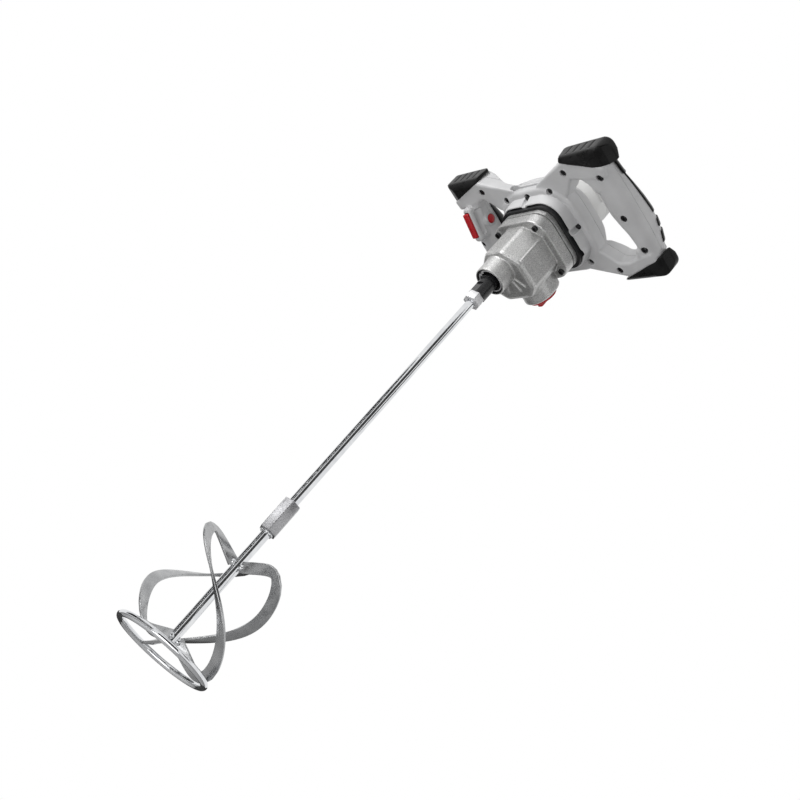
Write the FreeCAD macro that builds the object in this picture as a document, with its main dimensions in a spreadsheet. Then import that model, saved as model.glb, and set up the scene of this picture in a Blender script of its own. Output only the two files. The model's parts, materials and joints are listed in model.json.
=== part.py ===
import FreeCAD, Part
import math
import os
from types import SimpleNamespace

import Sketcher
from FreeCAD import Placement, Rotation, Vector

# Hand-held mixing drill with a helical paddle. Millimetres, +Z from the paddle up to the motor.
# The origin is the centre of the nose collar's front face, on the spindle axis.

# Driving dimensions, in millimetres
SIZES = {
    # Axes
    "motor_offset": 16.3,
    # Fits
    "running_gap": 0.05,
    "seat_gap": 0.02,
    "slide_gap": 0.3,
    "face_gap": 0.3,
    "overrun": 5.0,
    # Mixing paddle
    "ring_drop": 618.0,
    "ring_radius": 58.0,
    "ring_bar_radius": 4.0,
    "blade_reach": 58.0,
    "blade_width": 13.4,
    "blade_thickness": 3.0,
    "hub_drop": 500.5,
    "foot_drop": 598.5,
    "foot_droop": 24.5,
    "hub_rise": 21.0,
    "foot_overhang": 8.0,
    "rod_radius": 6.1,
    "coupling_drop": 425.0,
    "coupling_length": 45.0,
    "coupling_flats": 20.5,
    "nut_length": 12.5,
    "nut_flats": 21.5,
    "stud_radius": 7.0,
    "stud_length": 22.0,
    # Spindle
    "spindle_radius": 11.75,
    "spindle_reach": 30.0,
    "spindle_flats": 19.0,
    "spindle_flat_length": 17.0,
    "spindle_journal_radius": 8.5,
    "drive_flats": 17.0,
    "high_journal_radius": 8.3,
    "rear_journal_radius": 6.0,
    # Nose
    "nose_radius": 21.5,
    "nose_length": 27.0,
    "nose_lip": 2.0,
    "nose_root": 2.0,
    "seal_radius": 17.5,
    "seal_width": 4.5,
    "clip_radius": 17.9,
    "clip_width": 1.2,
    "clip_band": 2.2,
    "nose_bearing_radius": 17.5,
    "nose_bearing_width": 10.0,
    # Gear case
    "case_half_width": 37.0,
    "case_top": 25.0,
    "case_bottom": 52.0,
    "case_corner": 21.0,
    "case_edge_radius": 5.0,
    "case_shoulder": 7.0,
    "case_wall": 3.6,
    "case_front_wall": 5.0,
    "case_length": 57.0,
    "flange_half_width": 47.0,
    "flange_corner_radius": 24.0,
    "flange_length": 19.0,
    "flange_wall": 4.0,
    "flange_front": 3.0,
    "plate_length": 7.0,
    "plate_inset": 6.0,
    "case_screw_place": 35.5,
    "case_screw_radius": 2.5,
    "case_screw_head_radius": 4.2,
    "case_screw_head_length": 4.0,
    "case_screw_length": 24.0,
    "case_ear_radius": 7.0,
    "rib_start": 34.0,
    "rib_length": 12.0,
    "rib_width": 2.4,
    "rib_height": 2.2,
    "rib_pitch": 7.0,
    # Gear train
    "first_module": 0.8,
    "second_module": 0.9,
    "tooth_play": 0.06,
    "low_gear_place": 37.0,
    "low_gear_width": 10.0,
    "dog_length": 3.0,
    "dog_inner_radius": 12.0,
    "dog_outer_radius": 16.0,
    "sleeve_length": 5.4,
    "sleeve_radius": 17.0,
    "groove_radius": 13.6,
    "groove_width": 2.8,
    "shift_travel": 7.0,
    "high_gear_width": 9.0,
    "bridge_length": 6.0,
    "rear_bearing_radius": 10.5,
    "rear_bearing_width": 5.0,
    "lay_radius": 4.0,
    "lay_bush_radius": 6.5,
    "lay_bush_width": 7.0,
    "lay_boss_radius": 9.5,
    "lay_gear_width": 8.0,
    "lay_bearing_radius": 8.0,
    "lay_bearing_width": 5.0,
    "first_gear_gap": 0.6,
    # Speed selector
    "selector_shift": 8.0,
    "selector_boss_radius": 17.0,
    "selector_boss_reach": 15.0,
    "selector_shaft_radius": 7.5,
    "selector_bush_wall": 2.5,
    "eccentric": 5.0,
    "pin_radius": 2.2,
    "pin_length": 9.0,
    "knob_radius": 14.0,
    "knob_height": 10.0,
    "knob_base": 3.0,
    "knob_grip_width": 11.0,
    "fork_thickness": 2.4,
    "fork_arm": 4.0,
    "fork_stem": 9.0,
    "fork_block_width": 14.0,
    "fork_wall": 3.0,
    "fork_block_height": 9.0,
    # Motor
    "motor_radius": 46.0,
    "motor_wall": 3.5,
    "arm_bearing_radius": 13.0,
    "arm_bearing_width": 7.0,
    "arm_shaft_radius": 5.0,
    "fan_gap": 8.0,
    "fan_length": 12.0,
    "fan_radius": 38.0,
    "fan_hub_radius": 10.0,
    "fan_disc": 2.0,
    "fan_blade": 1.8,
    "core_radius": 23.5,
    "core_gap": 12.0,
    "core_length": 45.0,
    "air_gap": 0.8,
    "winding_length": 6.0,
    "winding_radius": 20.0,
    "coil_length": 8.0,
    "coil_thickness": 9.0,
    "slot_height": 17.0,
    "commutator_gap": 9.0,
    "commutator_length": 16.0,
    "commutator_radius": 12.0,
    "brush_width": 6.5,
    "brush_height": 10.0,
    "brush_length": 15.0,
    "brush_gap": 0.3,
    "holder_wall": 1.5,
    "spring_length": 9.0,
    "spring_radius": 2.6,
    "tail_bearing_gap": 8.0,
    "tail_bearing_radius": 11.0,
    "tail_bearing_width": 7.0,
    "tail_shaft_radius": 4.0,
    "end_wall": 4.0,
    "bearing_boss_wall": 3.0,
    "cover_length": 31.0,
    "cover_wall": 3.0,
    "cover_end_radius": 37.0,
    "vent_width": 3.0,
    "vent_length": 14.0,
    "cover_screw_place": 34.0,
    "cover_screw_radius": 2.0,
    "cover_screw_head_radius": 3.8,
    "cover_screw_head_length": 3.0,
    "module_length": 10.0,
    "module_width": 34.0,
    "module_depth": 24.0,
    "inlet_radius": 7.0,
    "inlet_bore": 3.6,
    "inlet_flange": 1.8,
    "inlet_length": 9.0,
    "inlet_place": 17.0,
    # Air baffle
    "baffle_wall": 2.5,
    "baffle_length": 20.0,
    "baffle_eye_radius": 30.0,
    # Handle
    "handle_setback": 22.0,
    "strut_thickness": 34.0,
    "front_shell_depth": 18.0,
    "collar_length": 17.0,
    "collar_half_width": 54.0,
    "collar_flare": 3.0,
    "collar_corner_radius": 27.0,
    "collar_wall": 3.2,
    "ring_half_height": 69.0,
    "strut_root": 29.0,
    "strut_tip_setback": 69.5,
    "strut_tip_height": 95.0,
    "cap_start_setback": 55.5,
    "handle_half_height": 100.0,
    "cap_end_setback": 11.5,
    "handle_reach": 153.5,
    "cap_side": 84.0,
    "cap_root": 66.0,
    "opening_root": 64.0,
    "opening_root_height": 44.0,
    "opening_tip_setback": 69.5,
    "opening_tip_height": 67.0,
    "opening_setback": 44.5,
    "opening_end_height": 60.0,
    "outline_radius": 9.0,
    "handle_edge_radius": 5.0,
    "grip_setback": 27.5,
    "grip_half_width": 20.5,
    "grip_end_half_width": 17.5,
    "grip_inset": 1.0,
    "grip_depth": 44.0,
    "grip_corner_radius": 15.0,
    "grip_half_length": 74.0,
    "grip_waist": 52.0,
    "grip_wall": 3.0,
    "inlay_depth": 1.5,
    "inlay_proud": 0.8,
    "inlay_half_length": 48.0,
    "inlay_half_width": 12.0,
    "bore_gap": 0.3,
    # Shell screws
    "collar_screw_x": 40.5,
    "collar_screw_y": 57.5,
    "strut_screw_setback": 75.0,
    "strut_screw_y": 78.5,
    "grip_screw_shift": 6.0,
    "grip_screw_y": 57.0,
    "screw_recess_radius": 4.0,
    "screw_recess_depth": 7.0,
    "screw_head_radius": 3.6,
    "screw_head_length": 2.5,
    "screw_radius": 1.9,
    "screw_length": 20.0,
    # Trigger and lock-on button
    "trigger_shift": 9.0,
    "trigger_place_y": 38.0,
    "trigger_width": 12.0,
    "trigger_length": 42.0,
    "trigger_reach": 18.0,
    "trigger_pad": 10.0,
    "trigger_edge_radius": 3.0,
    "trigger_stroke": 6.0,
    "trigger_stem_width": 8.0,
    "trigger_stem_length": 26.0,
    "trigger_foot": 3.0,
    "trigger_foot_margin": 2.5,
    "surround_reach": 9.0,
    "surround_wall": 5.0,
    "surround_edge_radius": 3.5,
    "switch_width": 20.0,
    "switch_length": 22.0,
    "return_spring_radius": 2.5,
    "return_wire": 0.8,
    "spring_bore_gap": 0.5,
    "lock_height": 11.0,
    "lock_place_y": 31.0,
    "lock_radius": 6.0,
    "lock_proud": 2.5,
    "lock_stroke": 2.5,
    "lock_flange_margin": 1.2,
    "lock_flange": 1.5,
    "lock_tip": 1.0,
}

# Counts, angles and shares
PINION_TEETH = 9
LAY_TEETH = 48
LOW_PINION_TEETH = 11
LOW_TEETH = 44
HIGH_PINION_TEETH = 15
HIGH_TEETH = 40
PRESSURE_ANGLE = math.radians(25)
ADDENDUM_SHARE = 0.8
DEDENDUM_SHARE = 1.05
DOGS = 8
DOG_ANGLE_SHARE = 0.36
BLADES = 3
BLADE_START_DEG = -102.0
BLADE_TWIST_DEG = 161.0
BLADE_ROUNDNESS = 7
BLADE_LEAN = 4
BLADE_STATIONS = 17
ARM_SHARES = (0.3, 0.5, 0.68, 0.82, 0.92)
BLADE_STEP_SHARE = 0.001
FAN_BLADES = 11
VENTS = 18
CORE_SLOTS = 12
CORE_SLOT_SHARE = 0.35
CASE_FRONT_SHARE = 0.88
RIBS = 2

doc = FreeCAD.newDocument("mixing_drill")
sheet = doc.addObject("Spreadsheet::Sheet", "sizes")


class Size:
    """A length together with the expression that ties it to the sheet."""

    def __init__(self, text, mm):
        self.text = text
        self.mm = mm

    def __float__(self):
        return self.mm

    def __add__(self, other):
        other = as_size(other)
        return Size(f"({self.text} + {other.text})", self.mm + other.mm)

    def __sub__(self, other):
        other = as_size(other)
        return Size(f"({self.text} - {other.text})", self.mm - other.mm)

    def __mul__(self, other):
        other = as_size(other)
        return Size(f"({self.text} * {other.text})", self.mm * other.mm)

    def __truediv__(self, other):
        other = as_size(other)
        return Size(f"({self.text} / {other.text})", self.mm / other.mm)

    def __neg__(self):
        return Size(f"(0 - {self.text})", -self.mm)

    def root(self):
        return Size(f"sqrt({self.text})", math.sqrt(self.mm))


def as_size(value):
    return value if isinstance(value, Size) else Size(f"({value!r})", float(value))


def read_sizes():
    cells = {}
    for row, (name, value) in enumerate(SIZES.items(), 1):
        sheet.set(f"A{row}", name)
        sheet.set(f"B{row}", str(value))
        sheet.setAlias(f"B{row}", name)
    doc.recompute()
    for name in SIZES:
        cells[name] = Size(f"sizes.{name}", float(sheet.get(name)))
    return SimpleNamespace(**cells)


s = read_sizes()
ZERO = as_size(0)

# Heights along the spindle, and the places of the axes
case_z = s.nose_length
flange_z = case_z + s.case_length
plate_z = flange_z + s.flange_length
baffle_z = plate_z + s.plate_length
handle_z = baffle_z + s.handle_setback
split_z = handle_z + s.front_shell_depth
handle_top_z = handle_z + s.strut_thickness
rim_z = handle_z - s.collar_length
grip_low_z = handle_z + s.grip_inset
grip_z = grip_low_z + s.grip_depth / 2
grip_top_z = grip_low_z + s.grip_depth
clip_z = s.nose_lip
seal_z = clip_z + s.clip_width + s.seat_gap
nose_bearing_z = seal_z + s.seal_width + s.seat_gap
bearing_end_z = nose_bearing_z + s.nose_bearing_width
low_z = s.low_gear_place
low_top_z = low_z + s.low_gear_width
sleeve_z = low_top_z + s.dog_length + s.face_gap
sleeve_top_z = sleeve_z + s.sleeve_length
high_z = sleeve_top_z + s.shift_travel + s.dog_length + s.face_gap
high_top_z = high_z + s.high_gear_width
bridge_z = high_top_z + s.dog_length - s.face_gap
bridge_top_z = bridge_z + s.bridge_length
lay_gear_z = flange_z + s.flange_front + s.first_gear_gap
lay_gear_top_z = lay_gear_z + s.lay_gear_width
plate_inner_z = plate_z - s.plate_inset
lay_bearing_z = plate_inner_z
arm_bearing_z = plate_z
fan_z = baffle_z + s.fan_gap
fan_top_z = fan_z + s.fan_length
core_z = fan_top_z + s.core_gap
core_top_z = core_z + s.core_length
commutator_z = core_top_z + s.commutator_gap
commutator_top_z = commutator_z + s.commutator_length
tail_bearing_z = commutator_top_z + s.tail_bearing_gap
tail_bearing_end_z = tail_bearing_z + s.tail_bearing_width
end_wall_z = tail_bearing_z
cover_z = end_wall_z + s.end_wall
cover_end_z = cover_z + s.cover_length
first_centres = s.first_module * ((PINION_TEETH + LAY_TEETH) / 2)
second_centres = s.second_module * ((LOW_PINION_TEETH + LOW_TEETH) / 2)
lay_y = (second_centres * second_centres - first_centres * first_centres
         + s.motor_offset * s.motor_offset) / (s.motor_offset * 2)
lay_x = (second_centres * second_centres - lay_y * lay_y).root()
motor_y = s.motor_offset
fork_z = sleeve_z + s.sleeve_length / 2
half_throw = s.shift_travel / 2
selector_z = fork_z + half_throw
selector_x = s.selector_shift
stator_radius = s.motor_radius - s.motor_wall - s.seat_gap
grip_x = s.handle_reach - s.grip_setback
cap_start_x = s.handle_reach - s.cap_start_setback
cap_end_x = s.handle_reach - s.cap_end_setback
strut_tip_x = s.handle_reach - s.strut_tip_setback
strut_screw_x = s.handle_reach - s.strut_screw_setback
opening_tip_x = s.handle_reach - s.opening_tip_setback
opening_end_x = s.handle_reach - s.opening_setback
grip_screw_x = grip_x + s.grip_screw_shift
trigger_x = grip_x - s.trigger_shift


def bind(obj, **sizes):
    for name, size in sizes.items():
        obj.setExpression(name, as_size(size).text)


def place(obj, x=ZERO, y=ZERO, z=ZERO):
    for axis, size in zip("xyz", (x, y, z)):
        obj.setExpression(f"Placement.Base.{axis}", as_size(size).text)
    return obj


def cylinder(name, radius, bottom, top, x=ZERO, y=ZERO):
    obj = doc.addObject("Part::Cylinder", name)
    bind(obj, Radius=radius, Height=top - bottom)
    return place(obj, x, y, bottom)


def box(name, low, high):
    obj = doc.addObject("Part::Box", name)
    bind(obj, Length=as_size(high[0]) - low[0], Width=as_size(high[1]) - low[1],
         Height=as_size(high[2]) - low[2])
    return place(obj, *low)


def hexagon(name, flats, bottom, top, x=ZERO, y=ZERO):
    obj = doc.addObject("Part::Prism", name)
    obj.Polygon = 6
    bind(obj, Circumradius=flats / math.sqrt(3), Height=top - bottom)
    return place(obj, x, y, bottom)


def fuse(name, pieces):
    obj = doc.addObject("Part::MultiFuse", name)
    obj.Shapes = pieces
    obj.Refine = True
    return obj


def cut(name, base, tools):
    obj = doc.addObject("Part::Cut", name)
    obj.Base = base
    obj.Tool = tools[0] if len(tools) == 1 else fuse(name + "_cuts", tools)
    obj.Refine = True
    return obj


def shaped(name, shape):
    """A sub-part whose shape is worked out from the sheet's values."""
    obj = doc.addObject("Part::Feature", name)
    obj.Shape = shape
    obj.Placement = Placement()
    return obj


def turned(name, profile, bottom, x=ZERO, y=ZERO):
    """A body turned about its own Z axis from (radius, height above bottom) corners."""
    body = doc.addObject("PartDesign::Body", name)
    sketch = body.newObject("Sketcher::SketchObject", name + "_profile")
    plane = [part for part in body.Origin.OriginFeatures if part.Role == "XZ_Plane"][0]
    sketch.AttachmentSupport = [(plane, "")]
    sketch.MapMode = "FlatFace"
    profile = [(as_size(radius), as_size(height)) for radius, height in profile]
    corners = [Vector(float(radius), float(height), 0) for radius, height in profile]
    for start, end in zip(corners, corners[1:] + corners[:1]):
        sketch.addGeometry(Part.LineSegment(start, end), False)
    for index in range(len(corners)):
        following = (index + 1) % len(corners)
        sketch.addConstraint(Sketcher.Constraint("Coincident", index, 2, following, 1))
    for index, corner in enumerate(profile):
        for kind, axis, size in (("DistanceX", -2, corner[0]), ("DistanceY", -1, corner[1])):
            if float(size):
                link = Sketcher.Constraint(kind, -1, 1, index, 1, float(size))
                number = sketch.addConstraint(link)
                sketch.setExpression(f"Constraints[{number}]", size.text)
            else:
                sketch.addConstraint(Sketcher.Constraint("PointOnObject", index, 1, axis))
    turn = body.newObject("PartDesign::Revolution", name + "_turn")
    turn.Profile = sketch
    turn.ReferenceAxis = (sketch, ["V_Axis"])
    turn.Angle = 360
    sketch.Visibility = False
    place(body, x, y, bottom)
    return body


def ring(name, inner, outer, bottom, top, x=ZERO, y=ZERO):
    height = top - bottom
    return turned(name, [(inner, ZERO), (outer, ZERO), (outer, height), (inner, height)], bottom, x, y)


def point(x, y, z=0):
    return Vector(float(x), float(y), float(z))


def rounded_wire(corners, radius):
    """A closed wire through flat corners, each rounded by an arc."""
    edges = []
    joints = []
    for index, corner in enumerate(corners):
        before = (corners[index - 1] - corner).normalize()
        after = (corners[(index + 1) % len(corners)] - corner).normalize()
        half = before.getAngle(after) / 2
        reach = radius / math.tan(half)
        start = corner + before * reach
        end = corner + after * reach
        middle = (before + after).normalize()
        centre = corner + middle * (radius / math.sin(half))
        joints.append((start, centre - middle * radius, end))
    for index, (start, middle, end) in enumerate(joints):
        edges.append(Part.Arc(start, middle, end).toShape())
        following = joints[(index + 1) % len(joints)][0]
        if (following - end).Length > float(s.seat_gap):
            edges.append(Part.LineSegment(end, following).toShape())
    return Part.Wire(edges)


def prism(wire, bottom, top):
    lifted = Part.Face(wire).translated(point(0, 0, bottom))
    return lifted.extrude(point(0, 0, top - bottom))


def rounded_square(half_width, radius, y):
    width = float(half_width)
    centre = float(y)
    corners = [point(width * across, centre + width * along) for across, along in SQUARE]
    return rounded_wire(corners, float(radius))


SQUARE = ((1, 1), (-1, 1), (-1, -1), (1, -1))


def end_edges(solid, *heights):
    """The edges of a prism that lie in its end planes at the given heights."""
    flat = []
    for edge in solid.Edges:
        middle = edge.BoundBox
        for height in heights:
            if max(abs(middle.ZMin - float(height)),
                   abs(middle.ZMax - float(height))) < float(s.seat_gap):
                flat.append(edge)
    return flat


def solid_cylinder(radius, bottom, top, x=0, y=0):
    return Part.makeCylinder(float(radius), float(top) - float(bottom), point(x, y, bottom))


def solid_box(low, high):
    start = point(*low)
    size = point(*high) - start
    return Part.makeBox(size.x, size.y, size.z, start)


# Gear teeth
def gear_wire(module, teeth, centre_x, centre_y, phase):
    """The outline of a spur gear with one tooth centred on the phase angle."""
    module = float(module)
    pitch = module * teeth / 2
    base = pitch * math.cos(PRESSURE_ANGLE)
    tip = pitch + module * ADDENDUM_SHARE
    foot = pitch - module * DEDENDUM_SHARE
    start = max(base, foot)
    half_tooth = math.pi / (2 * teeth) - float(s.tooth_play) / pitch
    spread = math.tan(PRESSURE_ANGLE) - PRESSURE_ANGLE

    def flank_angle(radius):
        pressure = math.acos(min(1, base / radius))
        return half_tooth + spread - (math.tan(pressure) - pressure)

    def at(radius, angle):
        return point(float(centre_x) + radius * math.cos(angle),
                     float(centre_y) + radius * math.sin(angle))

    edges = []
    step = 2 * math.pi / teeth
    middle_radius = (start + tip) / 2
    for tooth in range(teeth):
        centre = phase + tooth * step
        low = flank_angle(start)
        high = flank_angle(tip)
        middle = flank_angle(middle_radius)
        right_foot = at(foot, centre - low)
        right_start = at(start, centre - low)
        left_start = at(start, centre + low)
        left_foot = at(foot, centre + low)
        if start > foot:
            edges.append(Part.LineSegment(right_foot, right_start).toShape())
        edges.append(Part.Arc(right_start, at(middle_radius, centre - middle),
                              at(tip, centre - high)).toShape())
        edges.append(Part.Arc(at(tip, centre - high), at(tip, centre), at(tip, centre + high)).toShape())
        edges.append(Part.Arc(at(tip, centre + high), at(middle_radius, centre + middle),
                              left_start).toShape())
        if start > foot:
            edges.append(Part.LineSegment(left_start, left_foot).toShape())
        next_foot = at(foot, centre + step - low)
        edges.append(Part.Arc(left_foot, at(foot, centre + step / 2), next_foot).toShape())
    return Part.Wire(edges)


lay_angle = math.atan2(float(lay_y), float(lay_x))
motor_angle = math.atan2(float(motor_y - lay_y), float(-lay_x))


def toothed(module, teeth, x, y, phase, bottom, top):
    return prism(gear_wire(module, teeth, x, y, phase), bottom, top)


def dog_ring(bottom, top, turn):
    """A ring of driving dogs, the first one centred on the turn angle."""
    dogs = []
    spread = 360.0 / DOGS * DOG_ANGLE_SHARE
    for index in range(DOGS):
        angle = turn + index * 360.0 / DOGS - spread / 2
        height = float(top) - float(bottom)
        outer = Part.makeCylinder(float(s.dog_outer_radius), height, point(0, 0, bottom), point(0, 0, 1),
                                  spread)
        dog = outer.cut(solid_cylinder(s.dog_inner_radius, bottom, top))
        dog.rotate(point(0, 0), point(0, 0, 1), angle)
        dogs.append(dog)
    return dogs


# Mixing paddle
def blade_point(share, start_angle):
    """A place on a blade's middle line: out along an arm, down the helix and back to the rod."""
    reach = float(s.blade_reach)
    radius = reach * (1 - abs(2 * share - 1) ** BLADE_ROUNDNESS) ** (1 / BLADE_ROUNDNESS)
    angle = start_angle + math.radians(BLADE_TWIST_DEG) * share
    drop = float(s.hub_drop) + float(s.foot_drop - s.hub_drop) * share
    drop += float(s.foot_droop) * (radius / reach) * share ** BLADE_LEAN
    drop -= float(s.hub_rise) * (radius / reach) * (1 - share) ** BLADE_LEAN
    return point(radius * math.cos(angle), radius * math.sin(angle), -drop), angle, radius


def blade_section(share, start_angle):
    here, angle, radius = blade_point(share, start_angle)
    step = min(share, 1 - share) * BLADE_STEP_SHARE
    ahead = blade_point(share + step, start_angle)[0]
    behind = blade_point(share - step, start_angle)[0]
    along = (ahead - behind).normalize()
    outward = point(math.cos(angle), math.sin(angle))
    fall = float(s.hub_drop - s.foot_drop) / math.radians(BLADE_TWIST_DEG)
    sideways = point(-radius * math.sin(angle), radius * math.cos(angle), fall)
    flat = outward.cross(sideways).normalize()
    across = flat.cross(along).normalize()
    upright = along.cross(across).normalize()
    half_width = across * (float(s.blade_width) / 2)
    half_depth = upright * (float(s.blade_thickness) / 2)
    corners = [here + half_width * a + half_depth * b for a, b in SQUARE]
    return Part.makePolygon(corners + corners[:1])


def blade_shares():
    """Stations along a blade: out along the top arm, evenly down the helix and in along the foot arm."""
    weld_share = float((s.rod_radius + s.seat_gap) / s.blade_reach)
    reaches = (weld_share, *ARM_SHARES)
    arms = [(1 - (1 - reach ** BLADE_ROUNDNESS) ** (1 / BLADE_ROUNDNESS)) / 2 for reach in reaches]
    start = arms[-1]
    helix = []
    for index in range(1, BLADE_STATIONS):
        even = index / BLADE_STATIONS
        helix.append(start + (1 - 2 * start) * (even + (1 - math.cos(math.pi * even)) / 2) / 2)
    return arms + helix + [1 - share for share in reversed(arms)]


def make_paddle():
    foot = -(s.foot_drop + s.foot_overhang)
    coupling = -s.coupling_drop
    coupling_end = coupling + s.coupling_length / 2
    coupling_start = coupling - s.coupling_length / 2
    nut_top = -s.spindle_reach
    nut_bottom = nut_top - s.nut_length
    cut("lock_nut", hexagon("nut_blank", s.nut_flats, nut_bottom, nut_top),
        [cylinder("nut_bore", s.stud_radius + s.running_gap, nut_bottom - s.overrun,
                  nut_top + s.overrun)])
    stud_top = nut_top + s.stud_length
    fuse("upper_rod", [cylinder("upper_bar", s.rod_radius, coupling, nut_bottom),
                       cylinder("stud", s.stud_radius, nut_bottom, stud_top)])
    bore = cylinder("coupling_bore", s.rod_radius + s.running_gap, coupling_start - s.overrun,
                    coupling_end + s.overrun)
    cut("hex_coupling", hexagon("coupling_blank", s.coupling_flats, coupling_start, coupling_end), [bore])
    cylinder("lower_rod", s.rod_radius, foot, coupling)
    bar = Part.makeTorus(float(s.ring_radius), float(s.ring_bar_radius), point(0, 0, -s.ring_drop))
    for index in range(BLADES):
        start = math.radians(BLADE_START_DEG + index * 360 / BLADES)
        sections = [blade_section(share, start) for share in blade_shares()]
        blade = Part.makeLoft(sections, True).cut(bar)
        shaped(f"paddle_blade_{index + 1}", max(blade.Solids, key=lambda solid: solid.Volume))
    base = doc.addObject("Part::Torus", "paddle_ring")
    bind(base, Radius1=s.ring_radius, Radius2=s.ring_bar_radius)
    place(base, ZERO, ZERO, -s.ring_drop)


# Spindle with its gears
def make_spindle():
    tip = -s.spindle_reach
    journal_z = nose_bearing_z - s.seat_gap
    profile = [
        (s.spindle_radius, ZERO),
        (s.spindle_radius, journal_z - tip),
        (s.spindle_journal_radius, journal_z - tip),
        (s.spindle_journal_radius, low_top_z - tip),
        (s.high_journal_radius, low_top_z - tip),
        (s.high_journal_radius, high_top_z + s.face_gap - tip),
        (s.rear_journal_radius, high_top_z + s.face_gap - tip),
        (s.rear_journal_radius, bridge_top_z - tip),
        (ZERO, bridge_top_z - tip),
        (ZERO, s.stud_length),
        (s.stud_radius + s.running_gap, s.stud_length),
        (s.stud_radius + s.running_gap, ZERO),
    ]
    blank = turned("spindle_blank", profile, tip)
    drive = hexagon("spindle_drive", s.drive_flats, low_top_z, high_z - s.face_gap)
    half = s.spindle_flats / 2
    flat_top = tip + s.spindle_flat_length
    far = s.spindle_radius + s.overrun
    flats = [
        box("flat_front", (-far, -far, tip - s.overrun), (far, -half, flat_top)),
        box("flat_back", (-far, half, tip - s.overrun), (far, far, flat_top)),
    ]
    cut("spindle", fuse("spindle_turned", [blank, drive]), flats)
    low_phase = lay_angle
    low = toothed(s.second_module, LOW_TEETH, 0, 0, low_phase, low_z, low_top_z)
    low = low.cut(solid_cylinder(s.spindle_journal_radius + s.running_gap, low_z, low_top_z))
    shaped("low_gear", low.fuse(dog_ring(low_top_z, low_top_z + s.dog_length, 0)))
    high = toothed(s.second_module, HIGH_TEETH, 0, 0, lay_angle, high_z, high_top_z)
    high = high.fuse(dog_ring(high_z - s.dog_length, high_z, 0))
    shaped("high_gear", high.cut(solid_cylinder(s.high_journal_radius + s.running_gap, high_z,
                                                high_top_z)))
    half_pitch = 180.0 / DOGS
    body = solid_cylinder(s.sleeve_radius, sleeve_z, sleeve_top_z)
    groove_low = fork_z - s.groove_width / 2
    groove_high = fork_z + s.groove_width / 2
    groove = solid_cylinder(s.sleeve_radius, groove_low, groove_high)
    body = body.cut(groove.cut(solid_cylinder(s.groove_radius, groove_low, groove_high)))
    body = body.fuse(dog_ring(sleeve_z - s.dog_length, sleeve_z, half_pitch))
    body = body.fuse(dog_ring(sleeve_top_z, sleeve_top_z + s.dog_length, half_pitch))
    drive_bore = Part.makePolygon([
        point(float(s.drive_flats + s.slide_gap) / math.sqrt(3) * math.cos(math.radians(60 * corner)),
              float(s.drive_flats + s.slide_gap) / math.sqrt(3) * math.sin(math.radians(60 * corner)))
        for corner in range(7)])
    shaped("shift_sleeve", body.cut(prism(drive_bore, sleeve_z, sleeve_top_z)))


# Lay shaft between the armature pinion and the spindle gears
def make_lay_shaft():
    x, y = lay_x, lay_y
    bush_z = case_z + s.case_front_wall / 2
    end_z = lay_bearing_z + s.lay_bearing_width
    low_phase = lay_angle + math.pi + math.pi / LOW_PINION_TEETH
    high_phase = lay_angle + math.pi + math.pi / HIGH_PINION_TEETH
    shaft = solid_cylinder(s.lay_radius, bush_z + s.face_gap, end_z, x, y)
    low = toothed(s.second_module, LOW_PINION_TEETH, x, y, low_phase, low_z, low_top_z)
    high = toothed(s.second_module, HIGH_PINION_TEETH, x, y, high_phase, high_z, high_top_z)
    shaped("lay_shaft", shaft.fuse([low, high]))
    lay_phase = motor_angle
    gear = toothed(s.first_module, LAY_TEETH, x, y, lay_phase, lay_gear_z, lay_gear_top_z)
    shaped("lay_gear", gear.cut(solid_cylinder(s.lay_radius + s.seat_gap, lay_gear_z, lay_gear_top_z, x,
                                               y)))
    ring("lay_front_bush", s.lay_radius + s.running_gap, s.lay_bush_radius, bush_z,
         bush_z + s.lay_bush_width, x, y)
    ring("lay_rear_bearing", s.lay_radius + s.running_gap, s.lay_bearing_radius, lay_bearing_z, end_z, x,
         y)


# Gear case, bridge and bearing plate
def case_corners(shrink):
    """The eight corners of the gear case section, drawn in by the given distance."""
    wide = float(s.case_half_width - shrink)
    top = -float(s.case_top - shrink)
    low = float(s.case_bottom - shrink)
    corner = float(s.case_corner) - float(shrink) * (2 - math.sqrt(2))
    return [point(wide, top + corner), point(wide, low - corner), point(wide - corner, low),
            point(corner - wide, low), point(-wide, low - corner), point(-wide, top + corner),
            point(corner - wide, top), point(wide - corner, top)]


def case_prism(shrink, bottom, top):
    radius = float(s.case_edge_radius) - float(shrink) / 2
    return prism(rounded_wire(case_corners(shrink), radius), bottom, top)


def screw_places(reach, middle):
    return [(float(reach) * across, float(middle) + float(reach) * along) for across, along in SQUARE]


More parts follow.
